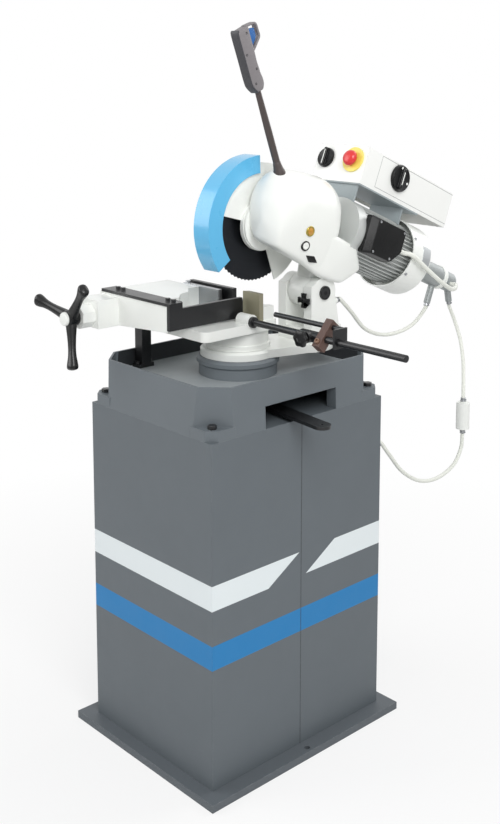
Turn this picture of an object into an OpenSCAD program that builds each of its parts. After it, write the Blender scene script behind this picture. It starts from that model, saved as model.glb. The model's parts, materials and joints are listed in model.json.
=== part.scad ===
// Cold saw with a pivoting head on a mitring turntable, a screw vise and a cabinet stand.
// Millimetres, +Z up, +Y away from the operator, origin at the centre of the floor plate's underside.

/* [Floor plate and cabinet] */
// Width of the floor plate
plate_w = 516; // [480:2:620]
// Depth of the floor plate
plate_d = 618; // [590:2:720]
// Thickness of the floor plate
plate_t = 18; // [12:1:25]
// Diameter of the two anchor holes
anchor_d = 14; // [10:1:20]
// Anchor hole centre to the plate's side edge
anchor_inset = 15; // [12:1:19]
// Width of the cabinet
cabinet_w = 438; // [420:2:470]
// Depth of the cabinet
cabinet_d = 550; // [530:2:580]
// Height of the cabinet
cabinet_h = 801; // [600:1:900]
// Thickness of the cabinet's sheet
sheet_t = 3; // [2:0.5:5]
// Diameter of the return opening in the cabinet's top
return_d = 150; // [90:2:180]
// Hose gland below the cabinet's top
gland_drop = 135; // [60:1:250]
// Hose gland in from the cabinet's right side
gland_inset = 27; // [23:1:45]

/* [Coolant tank] */
// Width of the tank
tank_w = 300; // [200:5:340]
// Depth of the tank
tank_d = 340; // [200:5:420]
// Height of the tank
tank_h = 220; // [120:5:400]
// Wall of the tank
tank_t = 3; // [2:0.5:5]

/* [Coolant tray] */
// Height of the tray
tray_h = 113; // [95:1:140]
// Height of the tray's floor above the cabinet
tray_floor_h = 69; // [62:1:80]
// Thickness of the tray's floor
tray_floor_t = 8; // [5:0.5:12]
// Thickness of the tray's walls
tray_wall = 5; // [3:0.5:8]
// Cut corner of the tray's walls
tray_corner = 66; // [50:1:80]
// Lean of the side walls from foot to rim
tray_lean_x = 4; // [1:0.5:8]
// Lean of the front and rear walls from foot to rim
tray_lean_y = 10; // [1:0.5:14]
// Height of the corner ledges
ledge_h = 25; // [15:1:35]
// Cut corner of the ledges
ledge_cut = 22; // [12:1:30]
// Length of the lever slot in the right wall
slot_l = 228; // [200:2:250]
// Height of the lever slot
slot_h = 52; // [40:1:56]
// Shank diameter of the tray bolts
tray_bolt_d = 12; // [8:1:16]

/* [Pedestal and turntable] */
// Diameter of the pedestal's foot
pedestal_d = 190; // [170:2:196]
// Diameter of the pedestal's flange
pedestal_flange_d = 200; // [198:2:230]
// Height of the pedestal
pedestal_h = 45; // [44:1:60]
// Height of the pedestal's flange
pedestal_flange_h = 21; // [12:1:30]
// Diameter of the centre post
post_d = 60; // [45:1:80]
// Diameter of the turntable's round end
table_d = 182; // [170:2:196]
// Thickness of the turntable
table_t = 20; // [14:1:24]
// Diameter of the turntable's lobe under the column
lobe_d = 144; // [136:1:160]
// Lobe centre to the right of the turning axis
lobe_x = 60; // [54:1:68]
// Lobe centre behind the turning axis
lobe_y = 166; // [150:1:185]
// Diameter of the graduated ring
ring_d = 156; // [120:2:170]
// Height of the graduated ring
ring_h = 12; // [8:1:20]

/* [Lock lever] */
// Length of the lever from the turning axis
lever_l = 339; // [280:1:380]
// Width of the lever
lever_w = 40; // [25:1:50]
// Thickness of the lever
lever_t = 8; // [5:0.5:12]
// Angle at which the lever rests
lever_angle = -6.5; // [-10:0.5:10]
// Diameter of the stud that carries the lever
stud_d = 24; // [16:1:30]

/* [Column] */
// Height of the hinge above the turntable
hinge_h = 121; // [110:1:140]
// Hinge behind the turning axis
hinge_y = 176; // [170:1:190]
// Left side of the column
column_x0 = 4; // [3:0.5:10]
// Right side of the column
column_x1 = 118; // [112:1:124]
// Thickness of each ear
ear_t = 26; // [18:1:30]
// Front face of the column behind the turning axis
column_y0 = 132; // [128:1:140]
// Rear foot of the column behind the turning axis
column_y1 = 236; // [220:1:240]
// Diameter of the ears' round tops
ear_d = 78; // [60:1:80]
// Diameter of the hinge pin
hinge_pin_d = 28; // [20:1:36]
// Diameter of the hinge barrel
barrel_d = 80; // [60:1:84]

/* [Vise] */
// Height of the bed's top above the turntable's top
bed_h = 69; // [60:1:90]
// Thickness of the bed
bed_t = 24; // [20:1:34]
// Left end of the bed
bed_x0 = -240; // [-260:1:-230]
// Right end of the bed
bed_x1 = 80; // [78:1:90]
// Front end of the bed
bed_y0 = -172; // [-180:1:-150]
// Rear end of the bed
bed_y1 = 60; // [50:1:68]
// Width of the blade slot
kerf_w = 16; // [10:1:20]
// Miter angle that the blade slot opens for
miter_max = 45; // [15:1:45]
// Height of the rear jaws
jaw_h = 66; // [50:1:75]
// Thickness of the jaw plates
jaw_t = 12; // [8:0.5:16]
// Left end of the left rear jaw
jaw_x0 = -180; // [-200:1:-120]
// Gap on each side of the blade between the rear jaws
jaw_gap = 18; // [14:1:24]
// Right end of the right rear jaw
jaw_x1 = 76; // [60:1:80]
// Opening between the moving and the rear jaw
vise_open = 11; // [9:0.5:30]
// Height of the moving slide above the bed
slide_h = 60; // [50:1:64]
// Thickness of the front strip
strip_t = 7; // [4:0.5:10]
// Depth of the front strip
strip_d = 44; // [30:1:50]
// Thickness of the cut-off arm
arm_t = 10; // [6:0.5:12]
// Height of the cut-off arm
arm_h = 49; // [40:1:56]
// Screw axis to the left of the blade
screw_x = -203; // [-208:1:-195]
// Diameter of the vise screw
screw_d = 20; // [14:1:24]
// Diameter of the screw boss
boss_d = 58; // [44:1:64]
// Length of each handwheel arm
wheel_arm = 112; // [80:1:125]
// Diameter of the handwheel's hub
wheel_hub_d = 40; // [30:1:50]
// Width of the support post under the vise
prop_w = 28; // [20:1:36]

/* [Bar stop] */
// Diameter of the guide rod
guide_d = 16; // [10:1:20]
// Length of the guide rod outside the bed
guide_l = 465; // [380:5:520]
// Guide rod in front of the turning axis
guide_y = -27; // [-34:1:-24]
// Diameter of the stop rod
stop_d = 12; // [8:1:14]
// Length of the stop rod
stop_l = 215; // [180:5:240]
// Thickness of the clamp
clamp_t = 20; // [14:1:26]
// Clamp to the right of the blade
clamp_x = 300; // [240:5:340]
// Diameter of the clamp knob
stop_knob_d = 40; // [28:1:44]

/* [Head] */
// Tilt of the motor axis below level with the head raised
head_tilt = 23; // [15:0.5:30]
// Hinge behind the blade's centre, along the motor
hinge_q = 178; // [172:1:190]
// Hinge below the blade's centre, across the motor
hinge_p = 107; // [105:1:120]
// Diameter of the blade
blade_d = 275; // [225:1:280]
// Thickness of the blade
blade_t = 2.5; // [1.5:0.1:3]
// Number of teeth on the blade
blade_teeth = 72; // [40:1:120]
// Depth of the blade's teeth
tooth_h = 3; // [1.5:0.1:5]
// Diameter of the blade flange
flange_d = 84; // [70:1:92]
// Diameter of the spindle
spindle_d = 30; // [24:1:36]
// Worm axis above the spindle
worm_rise = 58; // [54:0.5:62]
// Tip diameter of the worm
worm_d = 28; // [22:0.5:30]
// Number of worm wheel teeth
wheel_teeth = 45; // [30:1:60]
// Radius of the gear case's dome
dome_r = 95; // [92:1:100]
// Wall of the gear case
case_wall = 8; // [5:0.5:10]
// Centre plane of the motor and worm wheel
motor_x = 80; // [76:1:84]
// Diameter over the motor's fins
motor_d = 160; // [140:1:168]
// Length of the motor body
motor_l = 242; // [200:1:260]
// Number of motor fins
motor_fins = 44; // [20:1:60]
// Height of the motor's fins
fin_h = 9; // [5:0.5:12]
// Diameter of the fan cover
fan_cover_d = 186; // [176:1:196]
// Length of the fan cover
fan_cover_l = 76; // [70:1:100]

/* [Controls and handle] */
// Width of the control box
control_w = 165; // [140:1:180]
// Length of the control box
control_l = 366; // [300:1:400]
// Thickness of the control box
control_h = 95; // [70:1:110]
// Right side of the control box
control_x1 = 125; // [115:1:135]
// Underside of the control box above the blade's centre
control_p = 177; // [166:1:190]
// Diameter of the emergency stop button
estop_d = 40; // [30:1:50]
// Diameter of the selector knob
selector_d = 52; // [40:1:58]
// Diameter of the main switch
switch_d = 70; // [50:1:80]
// Diameter of the handle rod
handle_d = 17; // [14:0.5:20]
// Length of the handle rod above the gear case
handle_l = 200; // [150:1:240]
// Forward lean of the handle rod from the head's upright
handle_lean = 43; // [30:0.5:50]
// Thickness of the grip
grip_t = 24; // [20:0.5:32]
// Length of the grip
grip_l = 152; // [120:1:170]
// Forward lean of the grip from the head's upright
grip_lean = 46; // [40:0.5:60]

/* [Guards] */
// Outer diameter of the swinging guard
guard_d = 336; // [320:1:344]
// Width of the swinging guard's visible band
guard_band = 43; // [30:1:50]
// Outer diameter of the fixed guard
fixed_guard_d = 300; // [290:1:306]
// Wall of both guards
guard_t = 3; // [2:0.5:4]
// Angle that the swinging guard covers
guard_angle = 124; // [100:1:135]

/* [Hidden] */
$fn = 64;

// Running clearance on a radius
run = 0.05;
// Gap between faces that move past each other
gap = 0.4;
// Overrun of every cut
cut = 5;
// Half of a size
half_share = 1 / 2;
// Facets of the smooth blended castings
blend_fn = 26;
// Diameter and thickness of pin caps, and the shoulder used on small turned parts
cap_d = 34;
cap_t = 5;

// Heights of the stack
cabinet_z = plate_t + cabinet_h;
gland_z = cabinet_z - gland_drop;
gland_x = cabinet_w / 2 - gland_inset;
rim_z = cabinet_z + tray_h;
floor_z = cabinet_z + tray_floor_h;
table_z = floor_z + pedestal_h + gap;
table_top = table_z + table_t;
hinge_z = table_top + hinge_h;
bed_top = table_top + bed_h;
bed_bottom = bed_top - bed_t;
seat_t = 4;

// Place of the blade's centre, from the hinge and the head's own axes
blade_y = hinge_y - hinge_q * cos(head_tilt) + hinge_p * sin(head_tilt);
blade_z = hinge_z + hinge_q * sin(head_tilt) + hinge_p * cos(head_tilt);

// A place given in the head's axes, as a place in the room
function placed(p) = [p[0], blade_y + p[1] * cos(head_tilt) + p[2] * sin(head_tilt),
    blade_z - p[1] * sin(head_tilt) + p[2] * cos(head_tilt)];
function turned(p) = placed(p) - placed([0, 0, 0]);

// Smooth closed tube swept along a list of points
function unit(v) = v / norm(v);
function tangent(p, i) = unit(p[min(i + 1, len(p) - 1)] - p[max(i - 1, 0)]);
function side_of(t) = unit(cross(t, abs(t[2]) < abs(t[0]) ? [0, 0, 1] : [1, 0, 0]));
function carried(p, i) = i == 0 ? side_of(tangent(p, 0))
    : let (t = tangent(p, i), s = carried(p, i - 1)) unit(s - t * (s * t));
function ring_at(p, i, r, n) = let (t = tangent(p, i), s = carried(p, i), u = cross(t, s))
    [for (k = [0 : n - 1]) p[i] + r * (cos(360 * k / n) * s + sin(360 * k / n) * u)];
module swept_tube(p, d) {
    n = 8;
    m = len(p);
    points = [for (i = [0 : m - 1]) each ring_at(p, i, d * half_share, n)];
    sides = [for (i = [0 : m - 2], k = [0 : n - 1]) each [
        [i * n + k, (i + 1) * n + k, i * n + (k + 1) % n],
        [i * n + (k + 1) % n, (i + 1) * n + k, (i + 1) * n + (k + 1) % n]]];
    front = [for (k = [1 : n - 2]) [0, k, k + 1]];
    back = [for (k = [1 : n - 2]) [(m - 1) * n, (m - 1) * n + k + 1, (m - 1) * n + k]];
    polyhedron(points, concat(sides, front, back));
}
// Straight spline through a few points of a route, resampled
function bend(a, b, c, d, t) = half_share * ((2 * b) + (c - a) * t + (2 * a - 5 * b + 4 * c - d) * t * t
    + (3 * b - a - 3 * c + d) * t * t * t);
function route(p, n) = let (m = len(p)) concat(
    [for (i = [0 : m - 2], k = [0 : n - 1])
        bend(p[max(i - 1, 0)], p[i], p[i + 1], p[min(i + 2, m - 1)], k / n)], [p[m - 1]]);

// Cylinder along X or Y from a start value
module along_x(d, x0, x1) {
    translate([x0, 0, 0]) rotate([0, 90, 0]) cylinder(d = d, h = x1 - x0);
}
module along_y(d, y0, y1) {
    translate([0, y0, 0]) rotate([-90, 0, 0]) cylinder(d = d, h = y1 - y0);
}
module block(x, y, z) {
    translate([x[0], y[0], z[0]]) cube([x[1] - x[0], y[1] - y[0], z[1] - z[0]]);
}
// Plate with round corners, standing on its own place
module round_plate(x, y, z, r) {
    block([x[0] + r, x[1] - r], y, z);
    block(x, [y[0] + r, y[1] - r], z);
    for (cx = [x[0] + r, x[1] - r], cy = [y[0] + r, y[1] - r])
        translate([cx, cy, z[0]]) cylinder(r = r, h = z[1] - z[0]);
}
// Hexagon head of a bolt, across the flats
module hex_head(flats, h) {
    cylinder(d = flats / cos(30), h = h, $fn = 6);
}
// Head frame: origin at the blade's centre, Y along the motor, Z across it
module in_head() {
    translate([0, blade_y, blade_z]) rotate([-head_tilt, 0, 0]) children();
}
module in_vise() {
    translate([0, 0, bed_top]) children();
}

// Stand
module base_plate() {
    color("#4b4f53") difference() {
        block([-plate_w * half_share, plate_w * half_share], [-plate_d * half_share, plate_d * half_share],
            [0, plate_t]);
        for (s = [-1, 1])
            translate([s * (plate_w * half_share - anchor_inset), 0, -cut])
                cylinder(d = anchor_d, h = plate_t + 2 * cut);
    }
}

// Half of the cabinet: sheet walls, half of the top, open at the seam and at the floor
module cabinet_half(y0, y1) {
    difference() {
        block([-cabinet_w * half_share, cabinet_w * half_share], [y0, y1], [plate_t, cabinet_z]);
        block([-cabinet_w * half_share + sheet_t, cabinet_w * half_share - sheet_t],
            [y0 < -sheet_t ? y0 + sheet_t : y0 - cut, y1 > sheet_t ? y1 - sheet_t : y1 + cut],
            [plate_t - cut, cabinet_z - sheet_t]);
        translate([0, 0, cabinet_z - sheet_t - cut]) cylinder(d = return_d, h = sheet_t + 2 * cut);
    }
}
module cabinet_front() {
    color("#5c6166") cabinet_half(-cabinet_d * half_share, 0);
}
gland_hole_d = 20;
module cabinet_rear() {
    color("#5c6166") difference() {
        cabinet_half(0, cabinet_d * half_share);
        translate([gland_x, 0, gland_z])
            along_y(gland_hole_d, cabinet_d * half_share - sheet_t - cut, cabinet_d * half_share + cut);
    }
}
gland_flange_d = 30;
gland_flange_t = 6;
gland_tail = 18;
module hose_gland() {
    color("#d8dadb") translate([gland_x, cabinet_d * half_share, gland_z]) {
        along_y(gland_hole_d - 2 * run, -sheet_t - gland_flange_t, 0);
        along_y(gland_flange_d, 0, gland_flange_t);
        along_y(gland_hole_d, gland_flange_t, gland_tail);
    }
}
module coolant_tank() {
    color("#3d4247") difference() {
        block([-tank_w * half_share, tank_w * half_share], [-tank_d * half_share, tank_d * half_share],
            [plate_t, plate_t + tank_h]);
        block([tank_t - tank_w * half_share, tank_w * half_share - tank_t],
            [tank_t - tank_d * half_share, tank_d * half_share - tank_t],
            [plate_t + tank_t, plate_t + tank_h + cut]);
    }
}

// Tray block with leaning walls and cut corners, drawn in by inset
module tray_block(inset, z0, z1) {
    x = cabinet_w * half_share - inset;
    y = cabinet_d * half_share - inset;
    c = tray_corner - inset * (2 - sqrt(2));
    lean_a = (z0 - cabinet_z) / tray_h;
    lean_b = (z1 - cabinet_z) / tray_h;
    intersection() {
        translate([0, y, 0]) rotate([90, 0, 0]) linear_extrude(2 * y) polygon([
            [-x + lean_a * tray_lean_x, z0], [x - lean_a * tray_lean_x, z0],
            [x - lean_b * tray_lean_x, z1], [-x + lean_b * tray_lean_x, z1]]);
        translate([-x, 0, 0]) rotate([90, 0, 90]) linear_extrude(2 * x) polygon([
            [-y + lean_a * tray_lean_y, z0], [y - lean_a * tray_lean_y, z0],
            [y - lean_b * tray_lean_y, z1], [-y + lean_b * tray_lean_y, z1]]);
        translate([0, 0, z0]) linear_extrude(z1 - z0) polygon([
            [x, c - y], [x, y - c], [x - c, y], [c - x, y], [-x, y - c], [-x, c - y], [c - x, -y], [x - c, -y]]);
    }
}
// Ledge that fills a tray corner, with its own smaller cut
module ledge() {
    x = cabinet_w * half_share;
    y = cabinet_d * half_share;
    translate([0, 0, cabinet_z]) linear_extrude(ledge_h) polygon([
        [x, y - tray_corner - cut], [x, y - ledge_cut], [x - ledge_cut, y], [x - tray_corner - cut, y],
        [x - tray_corner - cut, y - tray_corner - cut]]);
}
ledge_bolt_share = 0.36;
ledge_bolt = tray_corner * ledge_bolt_share;
// Repeats its children in all four corners
module four_corners() {
    for (a = [0, 1], b = [0, 1])
        mirror([a, 0, 0]) mirror([0, b, 0]) children();
}
module at_ledge_bolt() {
    four_corners() translate([cabinet_w * half_share - ledge_bolt, cabinet_d * half_share - ledge_bolt, cabinet_z])
        children();
}
module coolant_tray() {
    color("#646a6f") difference() {
        union() {
            tray_block(0, cabinet_z, rim_z);
            four_corners() ledge();
        }
        tray_block(tray_wall, floor_z, rim_z + cut);
        tray_block(tray_wall + ledge_h, cabinet_z - cut, floor_z - tray_floor_t);
        block([0, cabinet_w], [-slot_l * half_share, slot_l * half_share], [cabinet_z - cut, cabinet_z + slot_h]);
        translate([0, 0, cabinet_z]) cylinder(d = post_d + 2 * run, h = tray_h);
        at_ledge_bolt() translate([0, 0, -cut]) cylinder(d = tray_bolt_d, h = ledge_h + 2 * cut);
    }
}
bolt_head_ratio_share = 1.5;
bolt_head_h_share = 0.7;
module tray_bolts() {
    color("#1b1c1e") at_ledge_bolt() {
        cylinder(d = tray_bolt_d - 2 * run, h = ledge_h);
        translate([0, 0, ledge_h]) hex_head(tray_bolt_d * bolt_head_ratio_share, tray_bolt_d * bolt_head_h_share);
    }
}

// Turning centre
pedestal_round = 6;
module pedestal() {
    r = pedestal_flange_d * half_share;
    z0 = pedestal_h - pedestal_flange_h;
    color("#6d7379") translate([0, 0, floor_z]) difference() {
        union() {
            cylinder(d = pedestal_d, h = pedestal_h);
            rotate_extrude() polygon([[0, z0], [r - pedestal_round, z0], [r, z0 + pedestal_round],
                [r, pedestal_h - pedestal_round], [r - pedestal_round, pedestal_h], [0, pedestal_h]]);
        }
        translate([0, 0, -cut]) cylinder(d = post_d + 2 * run, h = pedestal_h + 2 * cut);
    }
}
neck_share = 0.94;
stud_end = 5;
washer_share = 1.7;
module vise_base() {
    color("#eef0ee") {
        translate([0, 0, floor_z - tray_floor_t])
            cylinder(d = post_d, h = bed_bottom - floor_z + tray_floor_t);
        translate([0, 0, table_top + gap]) cylinder(d = ring_d, h = ring_h);
        translate([0, 0, table_top + gap + ring_h])
            cylinder(d = ring_d * neck_share, h = bed_bottom - table_top - gap - ring_h);
        translate([0, 0, cabinet_z + stud_end])
            cylinder(d = stud_d, h = floor_z - cabinet_z - stud_end - tray_floor_t * half_share);
        translate([0, 0, cabinet_z + stud_end]) cylinder(d = stud_d * washer_share, h = seat_t);
    }
}
table_edge = 5;
module turntable_plate() {
    color("#f4f5f3") difference() {
        translate([0, 0, table_z]) {
            cylinder(d = table_d, h = table_t - table_edge);
            translate([0, 0, table_t - table_edge])
                cylinder(d1 = table_d, d2 = table_d - 2 * table_edge, h = table_edge);
            translate([lobe_x, lobe_y, 0]) cylinder(d = lobe_d, h = table_t);
            linear_extrude(table_t) polygon(pear_web());
        }
        translate([0, 0, table_z - cut]) cylinder(d = post_d + 2 * run, h = table_t + 2 * cut);
    }
}
// Outer tangent quadrilateral between the round end and the lobe
function pear_web() = let (
    r0 = table_d * half_share - 2 * table_edge, r1 = lobe_d * half_share - table_edge, l = norm([lobe_x, lobe_y]),
    a = atan2(lobe_y, lobe_x), b = acos((r0 - r1) / l)) [
    [r0 * cos(a + b), r0 * sin(a + b)], [lobe_x + r1 * cos(a + b), lobe_y + r1 * sin(a + b)],
    [lobe_x + r1 * cos(a - b), lobe_y + r1 * sin(a - b)], [r0 * cos(a - b), r0 * sin(a - b)]];

// Lock lever under the tray's floor, swinging on the stud
lever_hub_d = 56;
lever_hub_h = 30;
lever_eye_d = 7;
lever_z = cabinet_z + stud_end + seat_t + gap;
module lock_lever() {
    color("#17181a") translate([0, 0, lever_z]) rotate([0, 0, lever_angle]) difference() {
        union() {
            cylinder(d = lever_hub_d, h = lever_hub_h);
            block([0, lever_l - lever_w * half_share], [-lever_w * half_share, lever_w * half_share], [0, lever_t]);
            translate([lever_l - lever_w * half_share, 0, 0]) cylinder(d = lever_w, h = lever_t);
        }
        translate([0, 0, -cut]) cylinder(d = stud_d + 2 * run, h = lever_hub_h + 2 * cut);
        translate([lever_l - lever_w * half_share, 0, -cut]) cylinder(d = lever_eye_d, h = lever_t + 2 * cut);
    }
}

// Column with two ears
column_base_h = 34;
ear_rear_share = 0.42;
module ear(x0) {
    translate([x0, 0, 0]) rotate([90, 0, 90]) linear_extrude(ear_t) {
        polygon([[column_y0, table_top], [column_y1, table_top],
            [hinge_y + ear_d * ear_rear_share, hinge_z + ear_d * ear_rear_share * half_share],
            [hinge_y, hinge_z + ear_d * half_share], [column_y0, hinge_z + ear_d * half_share * half_share]]);
        translate([hinge_y, hinge_z]) circle(d = ear_d);
    }
}
knob_pin_d = 10;
knob_seat = 24;
knob_share = 0.7;
knob_x = column_x1 - ear_t * knob_share;
knob_z = hinge_z - knob_pin_d - cap_t;
stub_x = column_x1 - ear_t * half_share;
stub_z = hinge_z - hinge_pin_d;
stub_y = column_y1 - cap_t;
hose_fit_d = 16;
module column() {
    color("#f1f3f1") difference() {
        union() {
            ear(column_x0);
            ear(column_x1 - ear_t);
            block([column_x0, column_x1], [column_y0, column_y1], [table_top, table_top + column_base_h]);
            translate([stub_x, 0, stub_z]) along_y(hose_fit_d, hinge_y + hinge_pin_d, stub_y);
        }
        translate([0, hinge_y, hinge_z]) along_x(hinge_pin_d + 2 * run, column_x0 - cut, column_x1 + cut);
        translate([knob_x, 0, knob_z])
            along_y(knob_pin_d + 2 * run, column_y0 - cut, column_y0 + knob_seat);
    }
}
module hinge_pin() {
    color("#1c1d1f") translate([0, hinge_y, hinge_z]) {
        along_x(hinge_pin_d, column_x0 - cap_t, column_x1 + cap_t);
        along_x(cap_d, column_x1, column_x1 + cap_t);
        along_x(cap_d, column_x0 - cap_t, column_x0);
    }
}
knob_gap = 4;
knob_arm = 18;
knob_t = 8;
knob_bar = 12;
module column_knob() {
    color("#151618") translate([knob_x, column_y0, knob_z]) {
        along_y(knob_pin_d, -knob_gap - knob_t, knob_seat);
        for (a = [0, 90])
            rotate([0, a, 0]) block([-knob_arm, knob_arm], [-knob_gap - knob_t, -knob_gap],
                [-knob_bar * half_share, knob_bar * half_share]);
    }
}

// Vise bed with the fan-shaped blade slot, the screw nut and the bar stop's boss
nut_l = 40;
nut_w = 46;
nut_y = -70;
screw_h = 15;
kerf_depth = 14;
kerf_y0 = -96;
kerf_y1 = 66;
// Wedge from the slot that the blade sweeps at the largest miter angle, on one side
module kerf_fan(side, reach) {
    w = kerf_w * half_share;
    e = reach * tan(miter_max);
    polygon(side < 0 ? [[-w, 0], [w, 0], [w, -reach], [-e - 2 * w, -reach], [-2 * w, 0]]
        : [[-w, 0], [w, 0], [2 * w, 0], [e + 2 * w, reach], [-w, reach]]);
}
module kerf(z0, z1) {
    translate([0, 0, z0]) linear_extrude(z1 - z0) {
        kerf_fan(-1, -kerf_y0);
        kerf_fan(1, kerf_y1);
    }
}
rod_boss_d = 34;
rod_hole_l = 40;
rod_z = 4;
prop_bolt_d = 8;
module vise_bed() {
    color("#f2f4f2") difference() {
        in_vise() {
            round_plate([bed_x0, bed_x1], [bed_y0, bed_y1], [-bed_t, 0], rod_boss_d * half_share);
            block([screw_x - nut_w * half_share, screw_x + nut_w * half_share], [nut_y, nut_y + nut_l],
                [0, screw_h + boss_d * half_share * half_share]);
            translate([0, guide_y, rod_z]) along_x(rod_boss_d, bed_x1 - rod_hole_l, bed_x1);
        }
        in_vise() {
            kerf(-kerf_depth, cut);
            translate([0, guide_y, rod_z]) along_x(guide_d + 2 * run, bed_x1 - rod_hole_l * half_share, bed_x1 + cut);
            translate([screw_x, 0, screw_h]) along_y(screw_d + 2 * run, nut_y - cut, nut_y + nut_l + cut);
        }
    }
}
prop_x = -192;
prop_y = -140;
prop_foot = 44;
prop_foot_t = 10;
module vise_post() {
    h = prop_w * half_share;
    f = prop_foot * half_share;
    color("#141517") {
        block([prop_x - h, prop_x + h], [prop_y - h, prop_y + h], [floor_z, bed_bottom]);
        block([prop_x - h, prop_x + h], [prop_y - f, prop_y + f], [floor_z, floor_z + prop_foot_t]);
        for (s = [-1, 1])
            translate([prop_x, prop_y + s * (f + h) * half_share, floor_z + prop_foot_t])
                hex_head(prop_bolt_d * bolt_head_ratio_share, prop_bolt_d * bolt_head_h_share);
    }
}
// Rear jaws: a plate on an angle block, cut clear of the mitred blade
jaw_foot = 46;
module rear_jaw(x0, x1) {
    in_vise() difference() {
        union() {
            block([x0, x1], [0, jaw_t], [0, jaw_h]);
            block([x0, x1], [jaw_t, jaw_foot], [0, jaw_h * half_share]);
        }
        kerf(-cut, jaw_h + cut);
    }
}
module jaw_fixed_left() {
    color("#1a1b1d") rear_jaw(jaw_x0, -jaw_gap);
}
module jaw_fixed_right() {
    color("#8b8674") rear_jaw(jaw_gap, jaw_x1);
}

// Moving side of the vise
slide_wall = 12;
slide_gap = 3;
slide_y = -vise_open - jaw_t;
slide_x0 = screw_x - nut_w * half_share - slide_wall - slide_gap;
slide_x1 = -45;
apron_gap = 16;
apron_y = bed_y0 - apron_gap;
apron_t = 42;
apron_drop = 19;
apron_drop_right = 1;
block_l = 60;
boss_l = 35;
boss_z = screw_h;
boss_y1 = apron_y - apron_t - block_l;
boss_y0 = boss_y1 - boss_l;
block_x0 = screw_x - slide_wall * 3;
block_x1 = screw_x + slide_wall * 3;
relief_x = -118;
// Right edge of the slide behind the apron: shares of the way from relief_x to slide_x1 and from the jaw to the apron
relief_shares = [[0, 0], [0, 0.2], [0.44, 0.36], [0.58, 0.56], [1, 0.74], [1, 1]];
module jaw_slide() {
    color("#f3f5f3") difference() {
        in_vise() union() {
            translate([0, 0, gap]) linear_extrude(slide_h - gap) polygon(concat([[slide_x0, apron_y],
                [slide_x0, slide_y]], [for (s = relief_shares)
                [relief_x + s[0] * (slide_x1 - relief_x), slide_y + s[1] * (apron_y - slide_y)]]));
            translate([0, apron_y, 0]) rotate([90, 0, 0]) linear_extrude(apron_t) polygon([
                [slide_x0, -apron_drop], [jaw_gap, -apron_drop_right], [jaw_gap, slide_h], [slide_x0, slide_h]]);
            block([block_x0, block_x1], [boss_y1, apron_y - apron_t], [boss_z - boss_d * half_share, slide_h - strip_t]);
            translate([screw_x, 0, boss_z]) rotate([0, 22.5, 0]) along_y(boss_d, boss_y0, boss_y1 + slide_wall, $fn = 8);
        }
        in_vise() {
            block([screw_x - nut_w * half_share - slide_gap, screw_x + nut_w * half_share + slide_gap],
                [apron_y + slide_wall, slide_y + cut], [-cut, screw_h + boss_d * half_share * half_share + slide_gap]);
            translate([screw_x, 0, screw_h]) along_y(screw_d + 2 * run, boss_y0 - cut, slide_y + cut);
        }
    }
}
jaw_plate_rise = 2;
jaw_plate_x0 = screw_x + nut_w * half_share + slide_gap;
module jaw_plate() {
    color("#3a3c3f") in_vise() {
        block([jaw_plate_x0, slide_x1], [slide_y, slide_y + jaw_t], [gap, slide_h + jaw_plate_rise]);
        translate([jaw_plate_x0 + jaw_t, slide_y + jaw_t * half_share, slide_h + jaw_plate_rise])
            hex_head(jaw_t, jaw_t * half_share);
    }
}
strip_over = 8;
strip_bolt_d = 10;
module front_strip() {
    color("#1a1b1d") in_vise() {
        block([slide_x0 + strip_over, jaw_gap], [apron_y - strip_d, apron_y], [slide_h, slide_h + strip_t]);
        for (x = [slide_x0 + nut_w, slide_x0 + nut_w + 2 * strip_bolt_d, jaw_gap - nut_w * half_share,
                jaw_gap - nut_w * half_share + 2 * strip_bolt_d])
            translate([x, apron_y - strip_d * half_share, slide_h + strip_t])
                hex_head(strip_bolt_d, strip_bolt_d * bolt_head_h_share);
    }
}
arm_tab_l = 38;
arm_lift = 4;
module cutoff_arm() {
    color("#111214") in_vise() {
        block([jaw_gap, jaw_gap + arm_t], [apron_y - strip_d, -vise_open], [arm_lift, arm_lift + arm_h]);
        block([jaw_gap, jaw_gap + arm_t], [apron_y - strip_d, apron_y - strip_d + arm_tab_l],
            [arm_lift + arm_h, slide_h + strip_t]);
    }
}

// Screw and handwheel
hub_l = 30;
hub_gap = 1;
screw_tail = 60;
hub_y1 = boss_y0 - hub_gap;
hub_y0 = hub_y1 - hub_l;
module vise_screw() {
    color("#8d9094") in_vise() translate([screw_x, 0, screw_h])
        along_y(screw_d, hub_y0 - cap_t, nut_y + nut_l + screw_tail);
}
arm_root_d = 26;
arm_tip_d = 20;
arm_waist_d = 13;
arm_waist_share = 0.62;
arm_dish = 18;
wheel_cap_d = 32;
wheel_cap_t = 12;
module handwheel() {
    color("#141517") in_vise() translate([screw_x, hub_y0, screw_h]) difference() {
        union() {
            along_y(wheel_hub_d, 0, hub_l);
            along_y(wheel_cap_d, -wheel_cap_t, 0);
            for (a = [45, 165, 285])
                rotate([0, -a, 0]) translate([0, hub_l * half_share, 0]) rotate([0, 0, -atan(arm_dish / wheel_arm)]) {
                    rotate([0, 90, 0]) cylinder(d1 = arm_root_d, d2 = arm_waist_d, h = wheel_arm * arm_waist_share);
                    translate([wheel_arm * arm_waist_share, 0, 0]) rotate([0, 90, 0])
                        cylinder(d1 = arm_waist_d, d2 = arm_tip_d, h = wheel_arm * (1 - arm_waist_share));
                    translate([wheel_arm, 0, 0]) sphere(d = arm_tip_d);
                }
        }
        along_y(screw_d + 2 * run, -cap_t, hub_l + cut);
    }
}

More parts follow.
